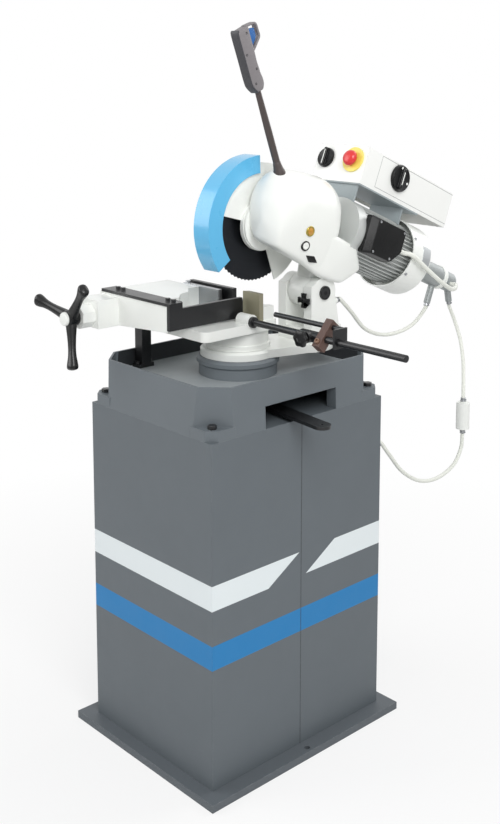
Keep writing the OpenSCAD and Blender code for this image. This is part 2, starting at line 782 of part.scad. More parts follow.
// Bar stop
collar_d = 26;
collar_t = 8;
module guide_rod() {
    color("#121315") in_vise() translate([0, guide_y, rod_z]) {
        along_x(guide_d, bed_x1 - rod_hole_l * half_share, bed_x1 + guide_l);
        along_x(collar_d, bed_x1, bed_x1 + collar_t);
    }
}
stop_y = -6;
stop_z = 28;
clamp_w = 26;
clamp_foot = 26;
collar_l = 56;
stop_gap = 0.1;
// Clamp bar through both rods, with a long collar on the guide rod
module stop_clamp() {
    color("#5a4238") in_vise() difference() {
        union() {
            translate([clamp_x, 0, 0]) rotate([90, 0, 90]) linear_extrude(clamp_t) clamp_outline();
            translate([0, guide_y, rod_z]) along_x(clamp_w, clamp_x - collar_l, clamp_x);
            translate([clamp_x - collar_l * half_share, guide_y, rod_z]) along_y_neg(clamp_foot, clamp_w);
        }
        translate([0, guide_y, rod_z]) along_x(guide_d + 2 * run, clamp_x - collar_l - cut, clamp_x + clamp_t + cut);
        translate([0, stop_y, stop_z]) along_x(stop_d + 2 * run, clamp_x - cut, clamp_x + clamp_t + cut);
        translate([clamp_x - collar_l * half_share, guide_y, rod_z])
            along_y(knob_pin_d + 2 * run, -clamp_w, -guide_d * half_share - stop_gap);
    }
}
module along_y_neg(d, l) {
    along_y(d, -l * half_share - cap_t, 0);
}
module clamp_outline() {
    lean = atan2(stop_y - guide_y, stop_z - rod_z);
    w = clamp_w * half_share;
    translate([guide_y, rod_z]) rotate(-lean)
        polygon([[-w, -clamp_foot], [w, -clamp_foot], [w, norm([stop_y - guide_y, stop_z - rod_z]) + w],
            [-w, norm([stop_y - guide_y, stop_z - rod_z]) + w]]);
}
stop_x0 = 136;
stop_foot = 14;
module stop_rod() {
    color("#121315") in_vise() {
        translate([0, stop_y, stop_z]) along_x(stop_d, stop_x0, stop_x0 + stop_l);
        difference() {
            block([stop_x0 + stop_l, stop_x0 + stop_l + cap_t], [guide_y - stop_foot, stop_y + stop_d * half_share],
                [rod_z - stop_foot, stop_z + stop_d * half_share]);
            translate([0, guide_y, rod_z]) along_x(guide_d + 2 * gap, stop_x0, stop_x0 + 2 * stop_l);
        }
    }
}
knob_stem = 12;
module stop_knob() {
    color("#1d1e20") in_vise() translate([clamp_x - collar_l * half_share, guide_y, rod_z]) {
        along_y(knob_pin_d, -clamp_w * half_share - cap_t - knob_stem, -guide_d * half_share - stop_gap - gap);
        along_y(stop_knob_d, -clamp_w * half_share - cap_t - knob_stem - knob_t,
            -clamp_w * half_share - cap_t - knob_stem);
    }
}

// Head: places in the head's frame, [x, along the motor, across the motor]
cover_x0 = 28;
cover_t = 6;
case_x0 = cover_x0 + cover_t;
dome_x = case_x0 + 24;
dome_places = [[dome_x, 20, worm_rise - 10], [dome_x, 105, worm_rise - 3]];
nose_places = [[dome_x + 4, -58, worm_rise + 20], [dome_x + 4, -56, -6]];
nose_r = 31;
wheel_case_r = 60;
lobe_place = [dome_x + 36, 240, -15];
lobe_r = 48;
case_rear = 186;
module case_solid(grow) {
    hull() {
        for (p = dome_places)
            translate(p) sphere(r = dome_r + grow, $fn = blend_fn);
        for (p = nose_places)
            translate(p) sphere(r = nose_r + grow, $fn = blend_fn);
        translate([dome_x + 4, 0, 0]) sphere(r = wheel_case_r + grow, $fn = blend_fn);
        translate(lobe_place) sphere(r = lobe_r + grow, $fn = blend_fn);
    }
}
module right_of(x) {
    block([x, x + 2 * dome_r + dome_x], [-2 * dome_r, 4 * dome_r], [-3 * dome_r, 3 * dome_r]);
}
barrel_x0 = column_x0 + ear_t + gap;
barrel_x1 = column_x1 - ear_t - gap;
bearing_a_d = 62;
bearing_b_d = 47;
bearing_w = 14;
spindle_end_d = 20;
spindle_x0 = -14;
wheel_w = 20;
wheel_gap = 2;
bearing_b_x = motor_x + wheel_w * half_share + 2 * wheel_gap;
worm_l = 44;
worm_shaft_d = 20;
handle_q = -48;
handle_p = 124;
handle_seat = 24;
module at_motor() {
    translate([motor_x, 0, worm_rise]) children();
}
module at_handle() {
    translate([motor_x, handle_q, handle_p]) rotate([handle_lean, 0, 0]) children();
}
web_w = 30;
module gear_case() {
    color("#f3f4f2") in_head() difference() {
        union() {
            intersection() {
                case_solid(0);
                right_of(case_x0);
            }
            translate([0, hinge_q, -hinge_p]) along_x(barrel_d, barrel_x0, barrel_x1);
            block([case_x0 + gap, barrel_x1], [hinge_q - web_w, hinge_q + web_w], [-hinge_p, -wheel_case_r * half_share]);
        }
        difference() {
            intersection() {
                hull()
                    for (p = dome_places)
                        translate(p) sphere(r = dome_r - case_wall, $fn = blend_fn);
                right_of(case_x0 - cut);
            }
            along_x(bearing_b_d + 2 * case_wall, bearing_b_x, motor_x + 2 * dome_r);
            at_motor() along_y(2 * bearing_w + worm_shaft_d, -2 * dome_r, -worm_l);
        }
        along_x(2 * wheel_tip_r + 2 * wheel_gap, case_x0 - cut, motor_x + wheel_w * half_share + wheel_gap);
        along_x(bearing_b_d + 2 * run, motor_x, bearing_b_x + bearing_w);
        along_x(spindle_end_d + 2 * case_wall, motor_x, bearing_b_x + bearing_w + case_wall);
        at_motor() {
            along_y(motor_d + 2 * gap, case_rear, 4 * dome_r);
            along_y(2 * worm_shaft_d, 0, case_rear + cut);
            along_y(worm_shaft_d + 2 * case_wall, -worm_l - bearing_w - gap, 0);
        }
        translate([0, hinge_q, -hinge_p]) along_x(hinge_pin_d + 2 * run, barrel_x0 - cut, barrel_x1 + cut);
        at_handle() translate([0, 0, -handle_seat]) cylinder(d = handle_d + 2 * run, h = handle_seat + 2 * dome_r);
        for (p = plug_places)
            translate(p) along_x(plug_d + 2 * run, -plug_seat, 2 * dome_r);
    }
}
module gear_cover() {
    color("#eceeec") in_head() difference() {
        union() {
            intersection() {
                case_solid(0);
                block([cover_x0, case_x0], [-2 * dome_r, 4 * dome_r], [-2 * dome_r, 2 * dome_r]);
            }
            along_x(bearing_a_d + 2 * case_wall, case_x0, case_x0 + bearing_w);
        }
        along_x(bearing_a_d + 2 * run, case_x0, case_x0 + bearing_w + cut);
        along_x(spindle_d + 2 * gap, cover_x0 - cut, case_x0 + cut);
        at_motor() along_y(motor_d + 2 * gap, case_rear, 4 * dome_r);
    }
}
plug_d = 22;
plug_seat = 10;
plug_head = 6;
plug_a = [83, 68, 15];
plug_b = [62, 62, -22];
plug_places = [for (p = [plug_a, plug_b]) [dome_x + p[0], p[1], p[2]]];
module oil_plugs() {
    color("#b9a14a") in_head() for (p = plug_places)
        translate(p) along_x(plug_d, -plug_seat, plug_head);
}
module bearing(d_out, d_in, w) {
    difference() {
        cylinder(d = d_out, h = w);
        translate([0, 0, -cut]) cylinder(d = d_in + 2 * run, h = w + 2 * cut);
    }
}
module spindle_bearings() {
    color("#a9adb1") in_head() {
        translate([case_x0, 0, 0]) rotate([0, 90, 0]) bearing(bearing_a_d, spindle_d, bearing_w);
        translate([bearing_b_x, 0, 0]) rotate([0, 90, 0]) bearing(bearing_b_d, spindle_end_d, bearing_w);
        at_motor() translate([0, -worm_l, 0]) rotate([90, 0, 0])
            bearing(worm_shaft_d + 2 * case_wall - 2 * run, worm_shaft_d, bearing_w);
    }
}

// Spindle group
spindle_x1 = bearing_b_x + bearing_w;
module spindle() {
    color("#9da1a6") in_head() {
        along_x(spindle_d, spindle_x0, bearing_b_x - gap);
        along_x(spindle_end_d, bearing_b_x - gap, spindle_x1);
    }
}
bore_r = spindle_d * half_share + run;
module saw_blade() {
    r = blade_d * half_share;
    color("#26282c") in_head() translate([-blade_t * half_share, 0, 0]) rotate([90, 0, 90]) difference() {
        linear_extrude(blade_t) polygon([for (k = [0 : blade_teeth - 1]) each [
            r * [cos(360 * k / blade_teeth), sin(360 * k / blade_teeth)],
            (r - tooth_h) * [cos(360 * (k + half_share) / blade_teeth), sin(360 * (k + half_share) / blade_teeth)]]]);
        translate([0, 0, -cut]) cylinder(r = bore_r, h = blade_t + 2 * cut);
    }
}
flange_t = 9;
nut_flats = 36;
nut_t = 8;
module blade_flange() {
    b = blade_t * half_share;
    color("#d9dbd8") in_head() difference() {
        union() {
            along_x(flange_d, b, b + flange_t);
            along_x(flange_d - 2 * flange_t, b + flange_t, cover_x0 - gap);
            along_x(flange_d, -b - flange_t, -b);
        }
        along_x(spindle_d + 2 * run, -flange_d, flange_d);
    }
}
wheel_tip_r = worm_rise - worm_d * half_share - gap;
wheel_tooth = 4;
module worm_wheel() {
    n = wheel_teeth;
    color("#b08d4c") in_head() translate([motor_x - wheel_w * half_share, 0, 0]) rotate([90, 0, 90]) difference() {
        linear_extrude(wheel_w) polygon([for (k = [0 : n - 1]) each [
            wheel_tip_r * [cos(360 * k / n), sin(360 * k / n)],
            (wheel_tip_r - wheel_tooth) * [cos(360 * (k + half_share) / n), sin(360 * (k + half_share) / n)]]]);
        translate([0, 0, -cut]) cylinder(d = spindle_d + 2 * run, h = wheel_w + 2 * cut);
    }
}

// Motor: worm shaft, rotor, fan, stator, body and covers
shaft_end = case_rear + motor_l + fan_cover_l - cap_t;
module worm() {
    color("#8f9398") in_head() at_motor() {
        along_y(worm_shaft_d, -worm_l - bearing_w, shaft_end);
        along_y(worm_d, -worm_l * half_share, worm_l * half_share);
    }
}
rotor_d = 78;
rotor_l = 120;
rotor_inset = 70;
rotor_q = case_rear + rotor_inset;
module rotor() {
    color("#7c8085") in_head() at_motor() difference() {
        along_y(rotor_d, rotor_q, rotor_q + rotor_l);
        along_y(worm_shaft_d + 2 * run, rotor_q - cut, rotor_q + rotor_l + cut);
    }
}
air_gap = 0.8;
motor_wall = 8;
stator_d = motor_d - 2 * fin_h - 2 * motor_wall;
module stator() {
    color("#a2683a") in_head() at_motor() difference() {
        along_y(stator_d - 2 * run, rotor_q - cap_t, rotor_q + rotor_l + cap_t);
        along_y(rotor_d + 2 * air_gap, rotor_q - 2 * cap_t, rotor_q + rotor_l + 2 * cap_t);
    }
}
shield_t = 16;
fin_w = 3;
motor_neck = 34;
module motor_body() {
    core_d = motor_d - 2 * fin_h;
    q1 = case_rear + motor_l;
    color("#b7babb") in_head() difference() {
        at_motor() difference() {
            union() {
                along_y(core_d, case_rear, q1);
                along_y(motor_d, case_rear, case_rear + motor_neck);
                for (k = [0 : motor_fins - 1])
                    rotate([0, 360 * k / motor_fins, 0])
                        block([-fin_w * half_share, fin_w * half_share], [case_rear + motor_neck, q1 - shield_t],
                            [core_d * half_share - fin_w, motor_d * half_share]);
            }
            along_y(stator_d, case_rear + shield_t, q1 - shield_t);
            along_y(worm_shaft_d + 2 * run, case_rear - cut, q1 + cut);
        }
        block([terminal_x0, terminal_x0 + dome_r], [terminal_q0 - gap, terminal_q0 + terminal_l + gap],
            [terminal_p0 - gap, terminal_p0 + terminal_h + gap]);
    }
}
fan_d = 150;
fan_clear = 20;
fan_q = case_rear + motor_l + fan_clear;
fan_w = 18;
fan_blades = 8;
blade_w = 4;
module cooling_fan() {
    color("#2a2c2f") in_head() at_motor() difference() {
        union() {
            along_y(worm_shaft_d * 2, fan_q, fan_q + fan_w);
            for (k = [0 : fan_blades - 1])
                rotate([0, 360 * k / fan_blades, 0])
                    block([-blade_w * half_share, blade_w * half_share], [fan_q, fan_q + fan_w],
                        [worm_shaft_d - blade_w, fan_d * half_share]);
        }
        along_y(worm_shaft_d + 2 * run, fan_q - cut, fan_q + fan_w + cut);
    }
}
vent_n = 18;
vent_w = 7;
module fan_cover() {
    q0 = case_rear + motor_l - shield_t;
    q1 = q0 + fan_cover_l;
    r = fan_cover_d * half_share;
    color("#eceeec") in_head() at_motor() difference() {
        rotate([-90, 0, 0]) rotate_extrude() polygon([
            [motor_d * half_share - fin_h, q0 + shield_t], [motor_d * half_share - fin_h, q0 + 2 * shield_t],
            [r - guard_t, q0 + 2 * shield_t], [r - guard_t, q1 - shield_t], [r - shield_t - guard_t, q1 - guard_t],
            [pump_d * half_share, q1 - guard_t], [pump_d * half_share, q1], [r - shield_t, q1],
            [r, q1 - shield_t], [r, q0 - shield_t], [r - guard_t, q0 - shield_t], [r - guard_t, q0 + shield_t]]);
        for (k = [0 : vent_n - 1])
            rotate([0, 360 * k / vent_n, 0])
                block([-vent_w * half_share, vent_w * half_share], [q1 - guard_t - cut, q1 + cut],
                    [pump_d * half_share + case_wall, r - 2 * shield_t]);
    }
}
pump_d = 60;
pump_l = 150;
pump_end_d = 52;
pump_end_l = 55;
fitting_d = 18;
fitting_a_l = 78;
fitting_b_l = 58;
fitting_lean = 35;
pump_q0 = case_rear + motor_l - shield_t + fan_cover_l - guard_t;
fitting_a_q = pump_q0 + pump_l - fitting_d * bolt_head_h_share;
fitting_b_q = pump_q0 + pump_l + pump_end_l - fitting_d * half_share;
cable_entry_q = pump_q0 + pump_l + pump_end_l * half_share;
cable_entry_p = worm_rise - fitting_d * half_share;
cable_entry_x = motor_x + pump_end_d * half_share + cap_t;
module coolant_pump() {
    q0 = pump_q0;
    color("#8e9296") in_head() at_motor() difference() {
        union() {
            along_y(pump_d - 2 * run, q0, q0 + pump_l);
            along_y(pump_end_d, q0 + pump_l, q0 + pump_l + pump_end_l);
            translate([0, fitting_a_q, -fitting_a_l]) cylinder(d = fitting_d, h = fitting_a_l);
            translate([0, fitting_b_q, 0]) rotate([fitting_lean, 0, 0]) translate([0, 0, -fitting_b_l])
                cylinder(d = fitting_d, h = fitting_b_l);
            translate([-motor_x, cable_entry_q, cable_entry_p - worm_rise])
                along_x(fitting_d, motor_x, cable_entry_x);
        }
        along_y(worm_shaft_d + 2 * gap, q0 - cut, shaft_end + gap);
    }
}

// Terminal box on the motor's side
terminal_x0 = motor_x + motor_d * half_share - fin_h;
terminal_t = 28;
terminal_q0 = case_rear + 28;
terminal_l = 132;
terminal_p0 = 14;
terminal_h = 96;
terminal_cut = 34;
module terminal_box() {
    q1 = terminal_q0 + terminal_l;
    p1 = terminal_p0 + terminal_h;
    color("#131416") in_head() translate([terminal_x0, 0, 0]) rotate([90, 0, 90]) difference() {
        linear_extrude(terminal_t) polygon([[terminal_q0, terminal_p0], [q1 - terminal_cut, terminal_p0],
            [q1, terminal_p0 + terminal_cut], [q1, p1], [terminal_q0, p1]]);
        translate([0, 0, -cut]) linear_extrude(terminal_t + cut - guard_t) polygon([
            [terminal_q0 + guard_t, terminal_p0 + guard_t], [q1 - terminal_cut - guard_t, terminal_p0 + guard_t],
            [q1 - guard_t, terminal_p0 + terminal_cut + guard_t], [q1 - guard_t, p1 - guard_t],
            [terminal_q0 + guard_t, p1 - guard_t]]);
    }
}

// Control box and its bracket
control_q0 = case_rear - 4;
control_wall = 2.5;
estop_x = control_x1 - 40;
estop_p = control_p + 58;
selector_inset = 32;
selector_x = control_x1 - control_w + selector_inset;
switch_q = control_q0 + 138;
switch_p = control_p + 60;
switch_stem_d = 16;
estop_ring_d = 64;
estop_ring_t = 5;
module control_box() {
    x0 = control_x1 - control_w;
    color("#f5f6f4") in_head() difference() {
        union() {
            block([x0, control_x1], [control_q0, control_q0 + control_l], [control_p, control_p + control_h]);
            translate([estop_x, 0, estop_p]) along_y(estop_ring_d, control_q0 - estop_ring_t, control_q0);
        }
        block([x0 + control_wall, control_x1 - control_wall],
            [control_q0 + control_wall, control_q0 + control_l - control_wall],
            [control_p - cut, control_p + control_h - control_wall]);
        translate([estop_x, 0, estop_p])
            along_y(switch_stem_d + 2 * run, control_q0 - estop_ring_t - cut, control_q0 + control_wall + cut);
        translate([selector_x, 0, estop_p])
            along_y(switch_stem_d + 2 * run, control_q0 - cut, control_q0 + control_wall + cut);
        translate([0, switch_q, switch_p])
            along_x(switch_stem_d + 2 * run, control_x1 - control_wall - cut, control_x1 + cut);
    }
}
shelf_t = 4;
bracket_x0 = 10;
bracket_x1 = 118;
leg_q = control_q0 + 190;
module box_bracket() {
    color("#9aa3a6") in_head() difference() {
        union() {
            block([bracket_x0, control_x1], [control_q0, case_rear + motor_l], [control_p - shelf_t, control_p]);
            block([bracket_x0, bracket_x1], [case_rear + gap, case_rear + shelf_t + gap], [worm_rise, control_p]);
            block([bracket_x0, bracket_x1], [leg_q, leg_q + shelf_t], [worm_rise, control_p]);
        }
        at_motor() along_y(motor_d + 2 * run, case_rear - cut, case_rear + 2 * motor_l);
        block([terminal_x0 - gap, terminal_x0 + dome_r], [terminal_q0 - dome_r, terminal_q0 + 2 * dome_r],
            [-dome_r, terminal_p0 + terminal_h + gap]);
    }
}
button_stem = 22;
button_rise = 14;
button_h = 16;
press_travel = 6;
module estop_button() {
    q1 = control_q0 - estop_ring_t - press_travel - gap;
    color("#d62a2c") in_head() translate([estop_x, 0, estop_p]) {
        along_y(switch_stem_d, q1, q1 + button_stem);
        along_y(estop_d, q1 - button_h, q1);
    }
}
grip_bar_w = 10;
grip_bar_h = 12;
dial_t = 8;
module selector_knob() {
    color("#17181a") in_head() translate([selector_x, control_q0, estop_p]) {
        along_y(switch_stem_d, -gap, control_wall + button_rise);
        along_y(selector_d, -gap - dial_t, -gap);
        block([-grip_bar_w * half_share, grip_bar_w * half_share], [-gap - dial_t - grip_bar_h, -gap - dial_t],
            [-selector_d * half_share, selector_d * half_share]);
    }
}
module main_switch() {
    color("#17181a") in_head() translate([control_x1, switch_q, switch_p]) {
        along_x(switch_stem_d, -control_wall - button_rise, gap);
        along_x(switch_d, gap, gap + dial_t);
        block([gap + dial_t, gap + dial_t + grip_bar_h], [-grip_bar_w * half_share, grip_bar_w * half_share],
            [-switch_d * half_share + dial_t, switch_d * half_share - dial_t]);
    }
}

// Handle, grip and trigger
handle_top_d = 14;
grip_seat = 60;
module at_grip() {
    at_handle() translate([0, 0, handle_l]) rotate([grip_lean - handle_lean, 0, 0]) children();
}
module handle_rod() {
    color("#4a4442") in_head() {
        at_handle() {
            translate([0, 0, -handle_seat]) cylinder(d = handle_d, h = handle_seat + handle_l * half_share);
            translate([0, 0, handle_l * half_share])
                cylinder(d1 = handle_d, d2 = handle_top_d, h = handle_l * half_share);
        }
        at_grip() {
            sphere(d = handle_top_d);
            cylinder(d = handle_top_d, h = grip_seat - gap);
        }
    }
}
trigger_w = 10;
trigger_pin_d = 5;
trigger_t = 12;
trigger_share = 0.678;
slot_share = [0.632, 0.724];
slot_t = [6, 18];
// Outlines of the grip: depth in millimetres, height as a share of the grip's length
grip_shape = [[-9, 0], [9, 0], [13, 0.033], [17.5, 0.08], [18.5, 0.17], [16, 0.263], [16, 0.48], [17, 0.579],
    [51, 0.75], [51, 0.954], [46, 0.987], [23, 1], [-11, 0.98], [-16, 0.94], [-21, 0.184], [-17, 0.08]];
grip_window = [[17, 0.625], [45.5, 0.77], [45.5, 0.944], [23, 0.96], [17, 0.954]];
trigger_shape = [[8, 0.651], [21, 0.655], [35, 0.734], [40, 0.776], [41, 0.908], [22, 0.931], [21, 0.908],
    [21, 0.704], [8, 0.704]];
module grip_slab(w, shape) {
    translate([-w * half_share, 0, 0]) rotate([90, 0, 90]) linear_extrude(w)
        polygon([for (p = shape) [p[0], p[1] * grip_l]]);
}
module grip() {
    w = trigger_w * half_share + gap;
    color("#8a8d90") in_head() at_grip() difference() {
        grip_slab(grip_t, grip_shape);
        grip_slab(2 * grip_t, grip_window);
        translate([0, 0, -cut]) cylinder(d = handle_top_d + 2 * run, h = grip_seat + cut);
        block([-w, w], slot_t, slot_share * grip_l);
        translate([0, trigger_t, trigger_share * grip_l]) along_x(trigger_pin_d + 2 * run, -grip_t, grip_t);
    }
}
module trigger() {
    color("#3aa6df") in_head() at_grip() {
        grip_slab(trigger_w, trigger_shape);
        translate([0, trigger_t, trigger_share * grip_l])
            along_x(trigger_pin_d, -grip_t * half_share, grip_t * half_share);
    }
}

// Guards: a round slice of the blade's space between two angles
wedge_steps = 6;
module wedge(x0, x1, r, a0, a1) {
    step = (a1 - a0) / wedge_steps;
    intersection() {
        along_x(2 * r, x0, x1);
        translate([x0 - cut, 0, 0]) rotate([90, 0, 90]) linear_extrude(x1 - x0 + 2 * cut)
            polygon(concat([[0, 0]], [for (k = [0 : wedge_steps]) 2 * r * [cos(a0 + step * k), sin(a0 + step * k)]]));
    }
}
guard_x0 = -27;
guard_x1 = cover_x0 - 2;
fixed_x0 = guard_x0 + guard_t + 2;
fixed_x1 = guard_x1 - guard_t - 3;
fixed_a0 = 4;
fixed_a1 = 188;
hub_ring_d = 124;
hub_hole_d = flange_d + 16;
stub_d = 20;
stub_l = 14;
deflector_a0 = -48;
deflector_a1 = -18;
open_angle = 8;
module fixed_guard() {
    r = fixed_guard_d * half_share;
    color("#f1f3f1") in_head() difference() {
        union() {
            difference() {
                wedge(fixed_x0, fixed_x1, r, fixed_a0, fixed_a1);
                wedge(fixed_x0 + guard_t, fixed_x1 - guard_t, r - guard_t, fixed_a0 - open_angle, fixed_a1 + open_angle);
            }
            wedge(fixed_x1 - guard_t, fixed_x1, r - guard_t, deflector_a0, deflector_a1);
            along_x(hub_ring_d, fixed_x1 - guard_t, cover_x0);
            along_x(hub_hole_d, fixed_x0, fixed_x0 + guard_t);
            along_x(stub_d, fixed_x0 - stub_l, fixed_x0 + guard_t);
        }
        along_x(hub_hole_d, fixed_x1 - guard_t - cut, cover_x0 + cut);
    }
}
guard_a0 = 115;
module blade_guard() {
    r = guard_d * half_share;
    a1 = guard_a0 + guard_angle;
    color("#4fb3e3") in_head() difference() {
        union() {
            wedge(guard_x0, guard_x1, r, guard_a0, a1);
            along_x(2 * stub_d, guard_x0, guard_x0 + guard_t);
        }
        wedge(guard_x0 + guard_t, guard_x1 - guard_t, r - guard_t, guard_a0 - open_angle, a1 + open_angle);
        along_x(2 * (r - guard_band), guard_x0 + guard_t, guard_x1 + cut);
        along_x(stub_d + 2 * run, guard_x0 - cut, guard_x0 + guard_t + cut);
    }
}

// Hoses and cable: middle places of the soft lines, with heights counted from the hinge
hose_d = 10;
cable_d = 12;
lead = 8;
fitting_a_end = placed([motor_x, fitting_a_q, worm_rise - fitting_a_l - run]);
fitting_a_way = turned([0, 0, -1]);
fitting_b_end = placed([motor_x, fitting_b_q + (fitting_b_l + run) * sin(fitting_lean),
    worm_rise - (fitting_b_l + run) * cos(fitting_lean)]);
fitting_b_way = turned([0, sin(fitting_lean), -cos(fitting_lean)]);
column_stub = [stub_x, stub_y, stub_z];
cable_start = placed([terminal_x0 + terminal_t - cable_d * bolt_head_h_share, terminal_q0 + terminal_l,
    terminal_p0 + terminal_cut + lead]);
cable_way = turned([0, 1, 0]);
cable_end = placed([cable_entry_x, cable_entry_q, cable_entry_p]);
filter_x = 184;
filter_y = 654;
filter_top = -352;
filter_low = -434;
gland_end = [gland_x, cabinet_d * half_share + gland_tail, gland_z];
function hung(p) = [for (q = p) [q[0], q[1], q[2] + hinge_z]];
coolant_middle = [[103, 290, -66], [100, 345, -118], [96, 415, -146], [91, 490, -152], [85, 560, -140]];
suction_middle = [[88, 734, -158], [108, 736, -210], [136, 714, -262], [164, 680, -304]];
return_middle = [[185, 648, -484], [188, 612, -522], [190, 540, -540], [191, 465, -528], [192, 395, -486],
    [192, 345, -432]];
cable_middle = [[183, 430, 70], [187, 480, 32], [186, 535, -6], [172, 600, -38], [148, 652, -48]];
// Straight start of a soft line at its fitting
function lead_in(p, way) = [p, p + lead * way, p + 2 * lead * way];
function lead_out(p, way) = [p + 2 * lead * way, p + lead * way, p];
coolant_route = concat(lead_in(column_stub, [0, 1, 0]), hung(coolant_middle),
    lead_out(fitting_a_end, fitting_a_way));
suction_route = concat(lead_in(fitting_b_end, fitting_b_way), hung(suction_middle),
    lead_out([filter_x, filter_y, filter_top + hinge_z], [0, 0, 1]));
return_route = concat(lead_in([filter_x, filter_y, filter_low + hinge_z], [0, 0, -1]), hung(return_middle),
    lead_out(gland_end, [0, 1, 0]));
cable_route = concat(lead_in(cable_start, cable_way), hung(cable_middle), lead_out(cable_end, [1, 0, 0]));
module coolant_hose() {
    color("#e6e8e4") swept_tube(route(coolant_route, 2), hose_d);
}
module suction_hose() {
    color("#e6e8e4") swept_tube(route(suction_route, 2), hose_d);
}
module return_hose() {
    color("#e6e8e4") swept_tube(route(return_route, 2), hose_d);
}
module pump_cable() {
    color("#ecedea") swept_tube(route(cable_route, 2), cable_d);
}
filter_d = 36;
filter_neck_d = 15;
module hose_filter() {
    h = filter_top - filter_low;
    color("#f0f1ef") translate([filter_x, filter_y, hinge_z + filter_low]) {
        cylinder(d = filter_neck_d, h = h);
        translate([0, 0, cap_t]) cylinder(d = filter_d, h = h - 2 * cap_t);
    }
}

base_plate();
cabinet_front();
cabinet_rear();
coolant_tank();
hose_gland();
coolant_tray();
tray_bolts();
pedestal();
vise_base();
vise_post();
vise_bed();
jaw_fixed_left();
jaw_fixed_right();
guide_rod();
return_hose();
lock_lever();
turntable_plate();
column();
hinge_pin();
coolant_hose();
suction_hose();
hose_filter();
column_knob();
gear_case();
gear_cover();
oil_plugs();
spindle_bearings();
motor_body();
stator();
fan_cover();
terminal_box();
control_box();
box_bracket();
handle_rod();
grip();
fixed_guard();
coolant_pump();
pump_cable();
saw_blade();
blade_flange();
spindle();
worm_wheel();
worm();
rotor();
cooling_fan();
blade_guard();
trigger();
estop_button();
selector_knob();
main_switch();
handwheel();
vise_screw();
jaw_slide();
jaw_plate();
front_strip();
cutoff_arm();
stop_clamp();
stop_rod();
stop_knob();
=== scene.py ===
"""Looks of a cold saw on a cabinet stand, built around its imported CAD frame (metres, +Z up)."""

import json
import logging
import math
from dataclasses import dataclass, field
from enum import Enum
from functools import reduce
from typing import Iterable, Sequence, Union

import bpy
import numpy as np
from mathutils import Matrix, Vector


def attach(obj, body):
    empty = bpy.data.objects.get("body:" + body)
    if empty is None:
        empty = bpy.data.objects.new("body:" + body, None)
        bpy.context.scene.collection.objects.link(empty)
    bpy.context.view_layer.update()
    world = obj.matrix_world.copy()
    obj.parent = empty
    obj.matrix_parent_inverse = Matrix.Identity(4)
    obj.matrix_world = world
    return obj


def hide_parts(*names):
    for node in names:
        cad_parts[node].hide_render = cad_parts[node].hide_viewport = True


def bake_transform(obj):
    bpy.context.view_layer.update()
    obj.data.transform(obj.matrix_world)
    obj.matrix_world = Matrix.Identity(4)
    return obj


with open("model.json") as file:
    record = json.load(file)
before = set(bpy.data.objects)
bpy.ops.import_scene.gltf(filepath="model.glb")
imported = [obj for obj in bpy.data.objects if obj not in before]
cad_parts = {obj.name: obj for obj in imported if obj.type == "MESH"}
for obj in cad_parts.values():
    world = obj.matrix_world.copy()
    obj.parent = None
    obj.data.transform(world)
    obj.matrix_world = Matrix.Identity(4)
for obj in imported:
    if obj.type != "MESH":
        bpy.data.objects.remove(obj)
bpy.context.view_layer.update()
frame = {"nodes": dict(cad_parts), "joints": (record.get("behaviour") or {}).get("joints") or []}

LOG = logging.getLogger("cold_saw")
MM = 0.001
Array = np.ndarray


def joint(name: str) -> dict:
    """Gives one joint of the frame by its name.

    Args:
        name: the joint's name in the record.

    Returns:
        The joint's entry, with its place and axis.
    """
    return next(j for j in frame["joints"] if j["name"] == name)


def paint_rgb(code: str) -> tuple[float, float, float, float]:
    """Turns a #rrggbb screen colour into the linear colour that a shader takes.

    Args:
        code: the colour as six hexadecimal digits after a hash.

    Returns:
        Linear red, green, blue and an alpha of 1.
    """
    c = np.array([int(code[i:i + 2], 16) for i in (1, 3, 5)]) / 255
    linear = np.where(c <= 0.04045, c / 12.92, ((c + 0.055) / 1.055) ** 2.4)
    return (*(float(v) for v in linear), 1.0)


@dataclass(frozen=True)
class Axes:
    """A local frame: where it starts and its three directions."""

    origin: Array
    u: Array
    v: Array
    w: Array

    def place(self, points: Array) -> Array:
        """Moves local points into the part's frame: origin plus each coordinate along its direction."""
        return self.origin + points @ np.stack([self.u, self.v, self.w])

    def direction(self, way: Sequence[float]) -> Array:
        """Turns a local direction into the part's frame."""
        return np.asarray(way, float) @ np.stack([self.u, self.v, self.w])

    def at(self, a: float, b: float, c: float) -> "Axes":
        """Gives the same directions from a new start, in local millimetres."""
        return Axes(self.place(np.array([a, b, c]) * MM), self.u, self.v, self.w)

    def facing(self, way: "Way") -> "Axes":
        """Gives a frame at the same start whose third direction looks the named way.

        Args:
            way: the direction to look in.

        Returns:
            The turned frame, right-handed as this one is.
        """
        turned = {Way.RIGHT: (self.v, self.w, self.u), Way.FRONT: (self.u, self.w, -self.v)}
        return Axes(self.origin, *turned[way])

    def leaning(self, degrees: float) -> "Axes":
        """Turns the frame about its first direction: positive leans the third towards minus the second."""
        c, s = math.cos(math.radians(degrees)), math.sin(math.radians(degrees))
        return Axes(self.origin, self.u, c * self.v + s * self.w, c * self.w - s * self.v)

    def spun(self, degrees: float) -> "Axes":
        """Turns the frame about its third direction."""
        c, s = math.cos(math.radians(degrees)), math.sin(math.radians(degrees))
        return Axes(self.origin, c * self.u + s * self.v, c * self.v - s * self.u, self.w)


class Way(Enum):
    """Directions that a fitted detail can face."""

    RIGHT = "right"
    FRONT = "front"


EX, EY, EZ = np.eye(3)
BLADE_CENTRE = np.array(joint("blade_spin")["pos_m"])
MOTOR_WAY = np.array(joint("worm_spin")["axis"])
ROOM = Axes(np.zeros(3), EX, EY, EZ)
HEAD = Axes(BLADE_CENTRE, EX, MOTOR_WAY, np.cross(EX, MOTOR_WAY))
HINGE_Z = joint("head_tilt")["pos_m"][2]


